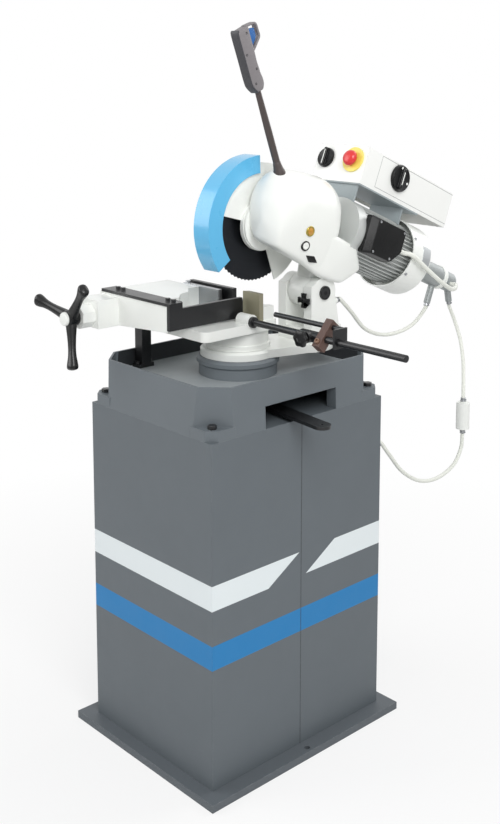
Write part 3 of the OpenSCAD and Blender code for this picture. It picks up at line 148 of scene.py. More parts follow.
@dataclass
class Surface:
    """Points and faces of one piece in the making."""

    points: Array
    quads: Array
    caps: list[Array] = field(default_factory=list)

    def __add__(self, other: "Surface") -> "Surface":
        """Joins two surfaces into one mesh, side by side.

        Args:
            other: the surface whose points come after this one's.

        Returns:
            The joined surface.
        """
        n = len(self.points)
        return Surface(np.vstack([self.points, other.points]), np.vstack([self.quads, other.quads + n]),
                       self.caps + [c + n for c in other.caps])

    def placed(self, axes: Axes) -> "Surface":
        """Moves a surface drawn in millimetres in local axes to its place in the part's frame."""
        return Surface(axes.place(self.points * MM), self.quads, self.caps)


def joined(parts: Sequence[Surface]) -> Surface:
    """Joins several surfaces into one mesh, in their order."""
    return reduce(Surface.__add__, parts)


def grid_faces(rows: int, columns: int) -> Array:
    """Lists the four corners of every cell of a stack of closed rings.

    Args:
        rows: number of rings.
        columns: number of points in a ring.

    Returns:
        An array of four indices a face, turned so that rings that run anticlockwise face outwards.
    """
    r = np.arange(rows - 1)[:, None] * columns
    c = np.arange(columns)[None, :]
    d = (c + 1) % columns
    return np.stack([r + c, r + d, r + columns + d, r + columns + c], -1).reshape(-1, 4)


def loft(rings: Array) -> Surface:
    """Skins a stack of closed rings, each anticlockwise about the way the stack grows, and closes both ends.

    Args:
        rings: array of rings by points by three coordinates.

    Returns:
        The closed skin.
    """
    m, n, _ = rings.shape
    return Surface(rings.reshape(-1, 3), grid_faces(m, n), [np.arange(n)[::-1], np.arange(n) + (m - 1) * n])


def lathe(profile: Sequence[tuple[float, float]], sides: int = 40) -> Surface:
    """Turns a profile about the third axis: each (radius, height) becomes a circle of that radius.

    Args:
        profile: radius and height in millimetres, from the foot to the top.
        sides: points in a circle.

    Returns:
        The turned skin in local millimetres.
    """
    p = np.array(profile, float)
    a = np.linspace(0, 2 * np.pi, sides, endpoint=False)
    height = np.broadcast_to(p[:, 1:], (len(p), sides))
    return loft(np.stack([p[:, :1] * np.cos(a), p[:, :1] * np.sin(a), height], -1))


def rounded_outline(width: float, height: float, radius: float, steps: int = 5) -> Array:
    """Draws a rectangle with round corners: each corner point is its centre plus a quarter circle.

    Args:
        width: size along the first axis.
        height: size along the second axis.
        radius: corner radius.
        steps: points in each corner.

    Returns:
        Points of the outline, anticlockwise.
    """
    r = max(float(radius), 0.01)
    corner = np.arange(4)[:, None]
    a = (corner + np.linspace(0, 1, steps)) * np.pi / 2
    cx = np.array([1, -1, -1, 1])[:, None] * (width / 2 - r)
    cy = np.array([1, 1, -1, -1])[:, None] * (height / 2 - r)
    return np.stack([cx + r * np.cos(a), cy + r * np.sin(a)], -1).reshape(-1, 2)


def plate(width: float, height: float, depth: float, radius: float = 2.0, bevel: float = 0.6) -> Surface:
    """Lofts a rounded rectangle along its depth, drawn in at the top by a quarter-round bevel.

    Args:
        width: size along the first axis, mm.
        height: size along the second axis, mm.
        depth: size along the third axis, mm.
        radius: corner radius, mm.
        bevel: radius of the top edge, mm.

    Returns:
        The closed plate, with its foot at height 0.
    """
    t = np.linspace(0, np.pi / 2, 4)
    inset = np.r_[0, bevel * (1 - np.cos(t))]
    height_at = np.r_[0, depth - bevel + bevel * np.sin(t)]
    outlines = [rounded_outline(width - 2 * i, height - 2 * i, radius - i) for i in inset]
    return loft(np.array([np.column_stack([o, np.full(len(o), z)]) for o, z in zip(outlines, height_at)]))


def tube(path: Array, radius: float, sides: int, reference: Array) -> Surface:
    """Carries a circle along a path: side is the path's direction crossed with a fixed reference.

    Args:
        path: points of the centreline.
        radius: radius of the circle, in the path's units.
        sides: points in a circle.
        reference: a direction that the path is never parallel to.

    Returns:
        The closed tube.
    """
    way = np.gradient(path, axis=0)
    way /= np.linalg.norm(way, axis=1)[:, None]
    side = np.cross(way, reference)
    side /= np.linalg.norm(side, axis=1)[:, None]
    over = np.cross(way, side)
    a = np.linspace(0, 2 * np.pi, sides, endpoint=False)[None, :, None]
    rings = path[:, None] + radius * (np.cos(a) * side[:, None] + np.sin(a) * over[:, None])
    return loft(rings)


def spline(points: Array, samples: int) -> Array:
    """Runs a smooth line through points: a cubic whose slope at each is half the step between its neighbours.

    Args:
        points: the points of the route.
        samples: steps between two points.

    Returns:
        The points of the smooth line.
    """
    p = np.vstack([points[:1], points, points[-1:]])
    t = np.linspace(0, 1, samples, endpoint=False)[None, :, None]
    a, b, c, d = (p[i:len(p) - 3 + i][:, None] for i in range(4))
    square, cube = 2 * a - 5 * b + 4 * c - d, 3 * b - a - 3 * c + d
    line = 0.5 * (2 * b + (c - a) * t + square * t ** 2 + cube * t ** 3)
    return np.vstack([line.reshape(-1, 3), points[-1:]])


def rounded(corners: Sequence[tuple[float, float]], radius: float, steps: int = 5) -> Array:
    """Rounds an outline's corners: each becomes a parabola between the points a radius before and after it.

    Args:
        corners: points of the outline, anticlockwise.
        radius: how far from its corner each curve starts and ends.
        steps: points in a curve.

    Returns:
        Points of the rounded outline.
    """
    p = np.array(corners, float)
    back, ahead = np.roll(p, 1, 0) - p, np.roll(p, -1, 0) - p
    back_l, ahead_l = (np.linalg.norm(v, axis=1, keepdims=True) for v in (back, ahead))
    start = p + back / back_l * np.minimum(radius, 0.45 * back_l)
    end = p + ahead / ahead_l * np.minimum(radius, 0.45 * ahead_l)
    t = np.linspace(0, 1, steps)[None, :, None]
    curve = (1 - t) ** 2 * start[:, None] + 2 * t * (1 - t) * p[:, None] + t ** 2 * end[:, None]
    return curve.reshape(-1, 2)


def slab(outline: Array, low: float, high: float, bevel: float) -> Surface:
    """Carries an outline along the third axis and draws it in at both ends by a quarter round.

    Args:
        outline: points of the outline, anticlockwise, mm.
        low: where the slab starts, mm.
        high: where it ends, mm.
        bevel: radius of the round at both ends, mm.

    Returns:
        The closed slab.
    """
    along = np.roll(outline, -1, 0) - np.roll(outline, 1, 0)
    out = np.stack([along[:, 1], -along[:, 0]], -1) / np.linalg.norm(along, axis=1, keepdims=True)
    t = np.linspace(0, np.pi / 2, 4)
    drawn = np.r_[bevel * (1 - np.sin(t)), bevel * (1 - np.cos(t))][:, None, None]
    z = np.r_[low + bevel * (1 - np.cos(t)), high - bevel + bevel * np.sin(t)][:, None, None]
    flat = outline[None] - drawn * out[None]
    return loft(np.concatenate([flat, np.broadcast_to(z, (*flat.shape[:2], 1))], -1))


def band(path: Array, outline: Array) -> Surface:
    """Carries an outline along a path in the second-third plane.

    Each point is the path plus the outline's first coordinate along the first axis and its second one square
    to the path.

    Args:
        path: points of the path as second and third coordinates, mm.
        outline: points of the outline, anticlockwise, mm.

    Returns:
        The closed band.
    """
    way = np.gradient(path, axis=0)
    way /= np.linalg.norm(way, axis=1, keepdims=True)
    side = np.stack([way[:, 1], -way[:, 0]], -1)
    x = np.broadcast_to(outline[None, :, :1], (len(path), len(outline), 1))
    return loft(np.concatenate([x, path[:, None] + outline[None, :, 1:] * side[:, None]], -1))


def arm(stations: Sequence[tuple[float, float, float]], sides: int = 28, power: float = 0.8) -> Surface:
    """Lofts a rounded bar along the third axis: each ring's cosine and sine are raised to a flattening power.

    Args:
        stations: place along the bar, half width and half thickness, mm.
        sides: points in a ring.
        power: 1 makes ovals, less than 1 makes flatter sides.

    Returns:
        The closed bar.
    """
    s = spline(np.array(stations, float), 5)
    a = np.linspace(0, 2 * np.pi, sides, endpoint=False)
    c, n = (np.sign(f) * np.abs(f) ** power for f in (np.cos(a), np.sin(a)))
    height = np.broadcast_to(s[:, :1], (len(s), sides))
    return loft(np.stack([s[:, 1:2] * c, s[:, 2:3] * n, height], -1))


def lobed(radius: float, foot: float, depth: float, lobes: int, wave: float) -> Surface:
    """Turns a star knob: the radius is a mean plus a wave times the cosine of so many times the angle.

    Args:
        radius: mean radius, mm.
        foot: height at which it starts, mm.
        depth: its height, mm.
        lobes: number of lobes.
        wave: how far the lobes stand out, mm.

    Returns:
        The closed knob.
    """
    a = np.linspace(0, 2 * np.pi, 96, endpoint=False)
    share = np.array([0.84, 1, 1, 0.95, 0.84, 0.4, 0.36])[:, None]
    z = foot + np.array([0, 0.15, 0.7, 0.9, 1, 1, 0.86])[:, None] * depth
    r = (radius + wave * np.cos(lobes * a))[None] * share
    return loft(np.stack([r * np.cos(a), r * np.sin(a), z + 0 * r], -1))


def wrapped_plate(radius: float, angles: Sequence[float], span: Sequence[float], rise: float,
                  steps: int = 24, rows: int = 5) -> Surface:
    """Wraps a thin plate round the third axis: arcs just above and below the radius, joined at their ends.

    Args:
        radius: radius of what it lies on, mm.
        angles: first and last angle, degrees.
        span: first and last height, mm.
        rise: how far it reaches above and below the radius, mm.
        steps: points in an arc.
        rows: number of rings.

    Returns:
        The closed plate.
    """
    a = np.radians(np.linspace(*angles, steps))
    r = np.repeat([radius + rise, radius - rise], steps)
    turn = np.r_[a, a[::-1]]
    ring = np.stack([r * np.cos(turn), r * np.sin(turn)], -1)
    z = np.linspace(*span, rows)[:, None, None]
    size = (rows, len(ring))
    return loft(np.concatenate([np.broadcast_to(ring, (*size, 2)), np.broadcast_to(z, (*size, 1))], -1))


def screw_head(radius: float, rise: float) -> Surface:
    """Turns a socket screw's head with a sunk middle, its foot a little below height 0."""
    return lathe([(radius, -1.5), (radius, rise * 0.8), (radius * 0.9, rise), (radius * 0.55, rise),
                  (radius * 0.5, rise * 0.3), (0.1, rise * 0.3)], 24)


class Value:
    """A shader socket that can be used in Python sums."""

    def __init__(self, tree: "Nodes", socket: bpy.types.NodeSocket) -> None:
        """Keeps the tree that owns the socket and the socket itself."""
        self.tree = tree
        self.socket = socket

    def _sum(self, operation: str, a: "Term", b: "Term") -> "Value":
        """Adds one Math node."""
        return self.tree.math(operation, a, b)

    def __add__(self, other: "Term") -> "Value":
        """Value plus other."""
        return self._sum("ADD", self, other)

    __radd__ = __add__

    def __sub__(self, other: "Term") -> "Value":
        """Value minus other."""
        return self._sum("SUBTRACT", self, other)

    def __rsub__(self, other: "Term") -> "Value":
        """Other minus value."""
        return self._sum("SUBTRACT", other, self)

    def __mul__(self, other: "Term") -> "Value":
        """Value times other."""
        return self._sum("MULTIPLY", self, other)

    __rmul__ = __mul__

    def __truediv__(self, other: "Term") -> "Value":
        """Value over other."""
        return self._sum("DIVIDE", self, other)

    def __rtruediv__(self, other: "Term") -> "Value":
        """Other over value."""
        return self._sum("DIVIDE", other, self)

    def above(self, limit: "Term") -> "Value":
        """1 where the value is greater than the limit, else 0."""
        return self._sum("GREATER_THAN", self, limit)

    def below(self, limit: "Term") -> "Value":
        """1 where the value is less than the limit, else 0."""
        return self._sum("LESS_THAN", self, limit)

    def within(self, low: "Term", high: "Term") -> "Value":
        """1 between the two limits, else 0."""
        return self.above(low) * self.below(high)

    def size(self) -> "Value":
        """The value without its sign."""
        return self._sum("ABSOLUTE", self, 0.0)

    def ramp(self, low: float, high: float) -> "Value":
        """Rises from 0 at low to 1 at high and stays within them."""
        inputs = {0: self, 1: low, 2: high, 3: 0.0, 4: 1.0}
        return self.tree.value("ShaderNodeMapRange", {"clamp": True}, inputs)


Term = Union[Value, float, int]
Colour = Union[Value, tuple[float, float, float, float]]


class Nodes:
    """A node tree in the making."""

    def __init__(self, tree: bpy.types.NodeTree) -> None:
        """Empties the tree."""
        self.tree = tree
        self.tree.nodes.clear()

    def node(self, kind: str, settings: dict, inputs: dict) -> bpy.types.Node:
        """Adds a node.

        Args:
            kind: the node's type.
            settings: attributes, set before the sockets.
            inputs: socket name or number to a number, colour or Value.

        Returns:
            The new node.
        """
        made = self.tree.nodes.new(kind)
        for key, value in settings.items():
            setattr(made, key, value)
        for key, value in inputs.items():
            if isinstance(value, Value):
                self.tree.links.new(value.socket, made.inputs[key])
            else:
                made.inputs[key].default_value = value
        return made

    def value(self, kind: str, settings: dict, inputs: dict, out: Union[int, str] = 0) -> Value:
        """Adds a node and gives one of its outputs."""
        return Value(self, self.node(kind, settings, inputs).outputs[out])

    def math(self, operation: str, a: Term, b: Term = 0.0) -> Value:
        """Adds one Math node on two numbers or Values."""
        return self.value("ShaderNodeMath", {"operation": operation}, {0: a, 1: b})


class Shader(Nodes):
    """One material in the making, with its Principled shader."""

    EDGE_TURN = (0.02, 0.2)

    def __init__(self, name: str) -> None:
        """Starts a material that shows its Principled shader.

        Args:
            name: the material's name.
        """
        self.material = bpy.data.materials.new(name)
        self.material.use_nodes = True
        super().__init__(self.material.node_tree)
        self.principled = self.node("ShaderNodeBsdfPrincipled", {}, {})
        self.out = self.node("ShaderNodeOutputMaterial", {}, {0: Value(self, self.principled.outputs[0])})
        self._place: Union[Value, None] = None

    def show(self, surface: Value) -> None:
        """Shows another shader than the Principled one."""
        self.tree.links.new(surface.socket, self.out.inputs[0])

    def vector(self, operation: str, a: Union[Value, tuple], b: Union[Value, tuple], out: int = 0) -> Value:
        """Adds one Vector Math node."""
        return self.value("ShaderNodeVectorMath", {"operation": operation}, {0: a, 1: b}, out)

    def place(self) -> Value:
        """Gives the point on the piece.

        Returns:
            The point in metres in the part's frame.
        """
        if self._place is None:
            self._place = self.value("ShaderNodeTexCoord", {}, {}, "Object")
        return self._place

    def along(self, way: Array, origin: Array) -> Value:
        """Gives how far the point lies from origin along a direction."""
        moved = self.vector("SUBTRACT", self.place(), tuple(float(v) for v in origin))
        return self.vector("DOT_PRODUCT", moved, tuple(float(v) for v in way), 1)

    def axes(self) -> tuple[Value, Value, Value]:
        """Splits the point into x, y and z."""
        split = self.node("ShaderNodeSeparateXYZ", {}, {0: self.place()})
        return tuple(Value(self, s) for s in split.outputs[:3])

    def noise(self, scale: float, detail: float, stretch: tuple[float, float, float] = (1, 1, 1)) -> Value:
        """Gives smooth noise over the piece.

        Args:
            scale: waves a metre.
            detail: how many finer waves are added.
            stretch: factors that multiply the point first.

        Returns:
            The noise, from 0 to 1.
        """
        point = self.place()
        if stretch != (1, 1, 1):
            point = self.vector("MULTIPLY", point, stretch)
        inputs = {"Vector": point, "Scale": scale, "Detail": detail}
        return self.value("ShaderNodeTexNoise", {}, inputs, "Fac")

    def mix(self, share: Term, a: Colour, b: Colour) -> Value:
        """Mixes two colours by a share from 0 to 1."""
        return self.value("ShaderNodeMix", {"data_type": "RGBA"}, {0: share, 6: a, 7: b}, 2)

    def rounded_normal(self, radius: float) -> Value:
        """Gives the normal as if the piece's edges were rounded to that radius."""
        return self.value("ShaderNodeBevel", {"samples": 4}, {"Radius": radius})

    def bump(self, height: Value, distance: float, normal: Value) -> Value:
        """Raises the surface by a height field."""
        inputs = {"Strength": 1.0, "Distance": distance, "Height": height, "Normal": normal}
        return self.value("ShaderNodeBump", {}, inputs)

    def edge(self, radius: float) -> Value:
        """Gives 1 on worn outer and inner edges and 0 on flats, from how far the rounded normal turns."""
        flat = self.value("ShaderNodeNewGeometry", {}, {}, "Normal")
        return (1 - self.vector("DOT_PRODUCT", self.rounded_normal(radius), flat, 1)).ramp(*self.EDGE_TURN)

    def set(self, socket: str, value: Union[Term, Colour]) -> None:
        """Sets or links one socket of the Principled shader.

        Args:
            socket: the socket's name.
            value: a number, a colour or a Value.
        """
        if isinstance(value, Value):
            self.tree.links.new(value.socket, self.principled.inputs[socket])
        else:
            self.principled.inputs[socket].default_value = value


@dataclass(frozen=True)
class Finish:
    """A painted, moulded or metal surface with its mottle, grain, edge wear and soft edges."""

    name: str
    colour: str
    roughness: float = 0.45
    metal: float = 0.0
    coat: float = 0.0
    coat_roughness: float = 0.12
    specular: float = 0.5
    mottle: float = 0.05
    grain: float = 900.0
    depth: float = 0.00006
    edge_radius: float = 0.0012
    wear: float = 0.25
    wear_colour: str = "#c9cbcb"
    stretch: tuple[float, float, float] = (1, 1, 1)
    cloud: float = 9.0
    smudge: float = 23.0
    smudge_share: float = 0.16
    grain_share: float = 0.06
    chips: float = 60.0
    chip_range: tuple[float, float] = (0.42, 0.7)

    def shade(self, colour: str, factor: float) -> tuple[float, float, float, float]:
        """Gives a lighter or darker version of a colour."""
        return (*(min(1.0, v * factor) for v in paint_rgb(colour)[:3]), 1.0)

    def base(self, sh: Shader) -> Value:
        """Gives the surface's own colour with its mottle.

        Args:
            sh: the material in the making.

        Returns:
            The colour field.
        """
        dark, pale = (self.shade(self.colour, 1 + way * self.mottle) for way in (-1, 1))
        return sh.mix(sh.noise(self.cloud, 4.0), dark, pale)

    def pattern(self, sh: Shader, colour: Value) -> Value:
        """Adds what is painted over the base; a plain finish adds nothing."""
        return colour

    def rough(self, sh: Shader, grain: Value) -> Value:
        """Gives the roughness field: a mean with smudges and grain."""
        smudges = (sh.noise(self.smudge, 3.0) - 0.5) * self.smudge_share
        return self.roughness + smudges + (grain - 0.5) * self.grain_share

    def material(self) -> bpy.types.Material:
        """Makes the material once and keeps it by name.

        Returns:
            The finished material.
        """
        name = "finish_" + self.name
        found = bpy.data.materials.get(name)
        if found is not None:
            return found
        sh = Shader(name)
        grain = sh.noise(self.grain, 2.0, self.stretch)
        worn = sh.edge(self.edge_radius) * sh.noise(self.chips, 3.0).ramp(*self.chip_range) * self.wear
        sh.set("Base Color", sh.mix(worn, self.pattern(sh, self.base(sh)), paint_rgb(self.wear_colour)))
        sh.set("Roughness", self.rough(sh, grain))
        sh.set("Metallic", self.metal)
        sh.set("Coat Weight", self.coat)
        sh.set("Coat Roughness", self.coat_roughness)
        sh.set("Specular IOR Level", self.specular)
        sh.set("Normal", sh.bump(grain, self.depth, sh.rounded_normal(self.edge_radius)))
        self.extras(sh)
        return sh.material

    def extras(self, sh: Shader) -> None:
        """Sets what only some finishes have; a plain finish has nothing more."""


@dataclass(frozen=True)
class CabinetPaint(Finish):
    """Powder coat with one pale and one blue band, and the seam between the two cabinet halves."""

    pale: str = "#dfe6e8"
    blue: str = "#1277b3"
    pale_band: tuple[float, float] = (0.441, 0.499)
    blue_band: tuple[float, float] = (0.303, 0.360)
    gap_foot: tuple[float, float] = (-0.105, 0.016)
    gap_head: tuple[float, float] = (-0.006, 0.113)
    side_x: float = 0.2175
    front_y: float = -0.2735
    seam: float = 0.0011
    seam_colour: str = "#15171a"
    seam_share: float = 0.75

    def pattern(self, sh: Shader, colour: Value) -> Value:
        """Paints the bands by height, leaves a slanted gap on the sides, and darkens the seam.

        Args:
            sh: the material in the making.
            colour: the powder coat's colour.

        Returns:
            The colour with its bands.
        """
        x, y, z = sh.axes()
        low, high = self.pale_band
        rise = (z - low) / (high - low)
        start, end = (rise * (head - foot) + foot for foot, head in zip(self.gap_foot, self.gap_head))
        side = x.size().above(self.side_x)
        gap = y.above(start) * y.below(end) * side
        outside = sh.math("MAXIMUM", side, y.below(self.front_y))
        colour = sh.mix(z.within(low, high) * outside * (1 - gap), colour, paint_rgb(self.pale))
        colour = sh.mix(z.within(*self.blue_band) * outside, colour, paint_rgb(self.blue))
        return sh.mix(y.size().below(self.seam) * side * self.seam_share, colour, paint_rgb(self.seam_colour))


@dataclass(frozen=True)
class TrayPaint(Finish):
    """Tray paint: a floor painted paler as light falling from above, inner walls painted dark as shade, and
    the grey outside.
    """

    foot_z: float = 0.819
    height: float = 0.113
    half: tuple[float, float] = (0.219, 0.275)
    lean: tuple[float, float] = (0.004, 0.010)
    corner: float = 0.066
    wall: float = 0.0025
    floor_z: float = 0.888
    # Painted light: the floor's pale grey stands for the light falling on it from above.
    floor: str = "#9fa5a8"
    stain: str = "#74797c"
    stain_waves: float = 14.0
    stain_range: tuple[float, float] = (0.35, 0.75)
    stain_share: float = 0.35
    # Painted shade: the inner walls' dark grey stands for the shade inside the tray.
    inner: str = "#2b2e31"
    skin: float = 0.0015
    rim: float = 0.0002

    def pattern(self, sh: Shader, colour: Value) -> Value:
        """Paints the floor by its height, paler as painted light, and the inner walls by how far they lie
        inside the rim, darker as painted shade.

        Args:
            sh: the material in the making.
            colour: the paint of the outside.

        Returns:
            The colour with its floor in painted light and its inner walls in painted shade.
        """
        x, y, z = sh.axes()
        rise = (z - self.foot_z) / self.height
        half_x, half_y = (h - self.wall - rise * lean for h, lean in zip(self.half, self.lean))
        inside = x.size().below(half_x) * y.size().below(half_y)
        inside = inside * (x.size() + y.size()).below(half_x + half_y - (self.corner - self.wall))
        # Painted shade: the mask of the inner walls, which are darkened as if in shadow.
        walls = inside * z.within(self.floor_z + self.skin, self.foot_z + self.height - self.rim)
        colour = sh.mix(walls, colour, paint_rgb(self.inner))
        stained = sh.noise(self.stain_waves, 5.0).ramp(*self.stain_range) * self.stain_share
        # Painted light: the floor is paler as if lit from above, with darker stain patches.
        painted_lit_floor = sh.mix(stained, paint_rgb(self.floor), paint_rgb(self.stain))
        return sh.mix(inside * z.within(self.floor_z - self.skin, self.floor_z + self.skin), colour, painted_lit_floor)


@dataclass(frozen=True)
class SplitPaint(Finish):
    """A finish with a second colour beyond a plane."""

    second: str = "#f3dc4c"
    origin: tuple[float, float, float] = (0, 0, 0)
    way: tuple[float, float, float] = (0, 0, 1)

    def pattern(self, sh: Shader, colour: Value) -> Value:
        """Paints what lies beyond the plane in the second colour."""
        beyond = sh.along(np.array(self.way), np.array(self.origin)).above(0.0)
        return sh.mix(beyond, colour, paint_rgb(self.second))


@dataclass(frozen=True)
class BoxPaint(SplitPaint):
    """The control box's paint: a yellow ring beyond the plane, and the lid's thin outline on the right."""

    side_x: float = 0.1246
    middle: tuple[float, float] = (0.3945, 0.2275)
    half: tuple[float, float] = (0.1555, 0.0405)
    line: float = 0.0008
    line_colour: str = "#4c5052"
    line_share: float = 0.6

    def pattern(self, sh: Shader, colour: Value) -> Value:
        """Darkens what lies within a line's width of the lid's outline, measured along the head.

        Args:
            sh: the material in the making.
            colour: the box's white.

        Returns:
            The colour with its ring and its outline.
        """
        q, p = (sh.along(way, HEAD.origin) - m for way, m in zip((HEAD.v, HEAD.w), self.middle))
        beyond = sh.math("MAXIMUM", q.size() - self.half[0], p.size() - self.half[1])
        line = beyond.size().below(self.line) * sh.axes()[0].above(self.side_x)
        return sh.mix(line * self.line_share, super().pattern(sh, colour), paint_rgb(self.line_colour))


@dataclass(frozen=True)
class TurnedMetal(Finish):
    """Metal with fine rings about an axis, as a lathe or a grinder leaves them."""

    origin: tuple[float, float, float] = (0, 0, 0)
    way: tuple[float, float, float] = (1, 0, 0)
    pitch: float = 0.0012
    ring_range: tuple[float, float] = (0.3, 0.7)
    tones: tuple[float, float] = (0.72, 1.25)

    def base(self, sh: Shader) -> Value:
        """Varies the tone by the distance from the axis: noise read along the radius only.

        Args:
            sh: the material in the making.

        Returns:
            The colour field.
        """
        moved = sh.vector("SUBTRACT", sh.place(), self.origin)
        radius = sh.value("ShaderNodeVectorMath", {"operation": "LENGTH"},
                          {0: sh.vector("CROSS_PRODUCT", moved, self.way)}, 1)
        line = sh.value("ShaderNodeTexNoise", {"noise_dimensions": "1D"},
                        {"W": radius / self.pitch, "Scale": 1.0, "Detail": 3.0}, "Fac")
        dark, pale = (self.shade(self.colour, tone) for tone in self.tones)
        return sh.mix(line.ramp(*self.ring_range), dark, pale)


@dataclass(frozen=True)
class HoseSkin(Finish):
    """Soft translucent tube."""

    inner_light: float = 0.15
    wall: float = 0.004

    def extras(self, sh: Shader) -> None:
        """Lets a little light into the tube's wall."""
        sh.set("Subsurface Weight", self.inner_light)
        sh.set("Subsurface Radius", (self.wall,) * 3)


E_STOP_FACE = HEAD.place(np.array([0.085, 0.1815, 0.235]))
CABINET = CabinetPaint("cabinet_paint", "#5d6469", roughness=0.5, mottle=0.045, grain=1300, depth=0.00005)
BASE = Finish("floor_plate_paint", "#585e63", roughness=0.52, mottle=0.06, grain=1300, wear=0.5)
TRAY = TrayPaint("tray_paint", "#62696e", roughness=0.48, mottle=0.05, grain=1300)
WHITE = Finish("white_enamel", "#eef0ec", roughness=0.34, coat=0.35, mottle=0.018, grain=420, depth=0.00008,
               wear=0.2, wear_colour="#b9bdb8")
BOX_WHITE = BoxPaint("control_box_white", "#f3f4f1", roughness=0.36, coat=0.2, mottle=0.014, grain=1500,
                     depth=0.00003, wear=0.15, second="#f6e36b", origin=tuple(E_STOP_FACE),
                     way=tuple(-MOTOR_WAY))
GUARD_BLUE = Finish("guard_blue", "#5db7e4", roughness=0.3, coat=0.5, mottle=0.03, grain=500, depth=0.00004,
                    wear=0.3, wear_colour="#b6dff2")
BLACK_STEEL = Finish("black_steel", "#131416", roughness=0.36, mottle=0.2, grain=800, wear=0.35,
                     wear_colour="#5a5c5f", coat=0.15)
BLACK_PLASTIC = Finish("black_plastic", "#08090a", roughness=0.28, specular=0.35, mottle=0.15, grain=1600,
                       wear=0.12, wear_colour="#3a3c3e", coat=0.12)
GREY_PLASTIC = Finish("grip_grey", "#7c787a", roughness=0.5, mottle=0.08, grain=1800, wear=0.3)
PALE_PLASTIC = Finish("pale_plastic", "#eceeea", roughness=0.42, mottle=0.02, grain=1500, wear=0.15)
STEEL = Finish("machined_steel", "#a9abae", roughness=0.32, metal=1.0, mottle=0.08, grain=500,
               stretch=(1, 1, 14), wear=0.3, wear_colour="#dcdcdc")
BLADE = TurnedMetal("blade_steel", "#2b2d32", roughness=0.38, metal=0.75, grain=900, depth=0.00002,
                    wear=0.5, wear_colour="#8a8d92", origin=tuple(BLADE_CENTRE))
FLANGE = TurnedMetal("flange_steel", "#d4d6d4", roughness=0.35, metal=0.35, grain=900, depth=0.00002,
                     wear=0.3, origin=tuple(BLADE_CENTRE), pitch=0.0008)
BRONZE = Finish("bronze", "#b08a3f", roughness=0.35, metal=1.0, mottle=0.12, grain=700)
COPPER = Finish("windings", "#a3643a", roughness=0.45, metal=0.8, mottle=0.15, grain=1200)
MOTOR = Finish("motor_aluminium", "#c3c6c4", roughness=0.42, metal=0.25, mottle=0.05, grain=700, wear=0.3)
PUMP = Finish("pump_grey", "#9ba0a0", roughness=0.42, metal=0.3, mottle=0.08, grain=700)
IRON = Finish("pedestal_grey", "#6f767b", roughness=0.5, mottle=0.08, grain=420, depth=0.00012, wear=0.3)
BRACKET = Finish("bracket_grey", "#98a2a5", roughness=0.45, mottle=0.04, grain=1200)
# Bare steel whose olive tone is a painted reflection of a warm surround; white beyond 12.5 mm along y.
OLIVE = SplitPaint("bare_jaw_warm_reflection", "#8d8974", roughness=0.4, metal=0.2, mottle=0.1, grain=500, stretch=(1, 1, 12),
                   second="#eef0ec", origin=(0, 0.0125, 0), way=(0, 1, 0))
BROWN = SplitPaint("clamp_brown", "#574139", roughness=0.42, mottle=0.15, grain=600, wear=0.4,
                   wear_colour="#9a8578", second="#131416", origin=(0.300, 0, 0), way=(-1, 0, 0))
SCREW_BROWN = Finish("clamp_screw", "#8a6d5c", roughness=0.36, metal=0.5, mottle=0.12, grain=800)
RED = Finish("button_red", "#d92b2e", roughness=0.3, coat=0.3, mottle=0.04, grain=1500, wear=0.1)
BLUE = Finish("trigger_blue", "#1d5c9e", roughness=0.35, coat=0.2, mottle=0.04, grain=1500, wear=0.1)
ROD = Finish("handle_brown", "#4b4341", roughness=0.42, metal=0.2, mottle=0.12, grain=900, wear=0.3)
TANK = Finish("tank_paint", "#40464b", roughness=0.5, mottle=0.08)
HOSE = HoseSkin("hose_white", "#e3e5dd", roughness=0.38, mottle=0.03, grain=1200, wear=0.0)
AMBER = Finish("sight_amber", "#c08a2c", roughness=0.16, coat=0.6, mottle=0.16, grain=300, wear=0.0)
# Painted shade: a dark grey for the band on the grip's front, which stands for the shade there.
GRIP_FRONT_SHADE = Finish("grip_front_shade", "#3c3c40", roughness=0.48, mottle=0.1, grain=1800, wear=0.25)
BARE_PLATE = Finish("bare_plate", "#b9bdbf", roughness=0.36, metal=0.6, mottle=0.06, grain=700,
                    stretch=(1, 12, 1))
BRASS = Finish("sight_brass", "#b3a04a", roughness=0.28, metal=0.8, mottle=0.08, grain=900, wear=0.2)

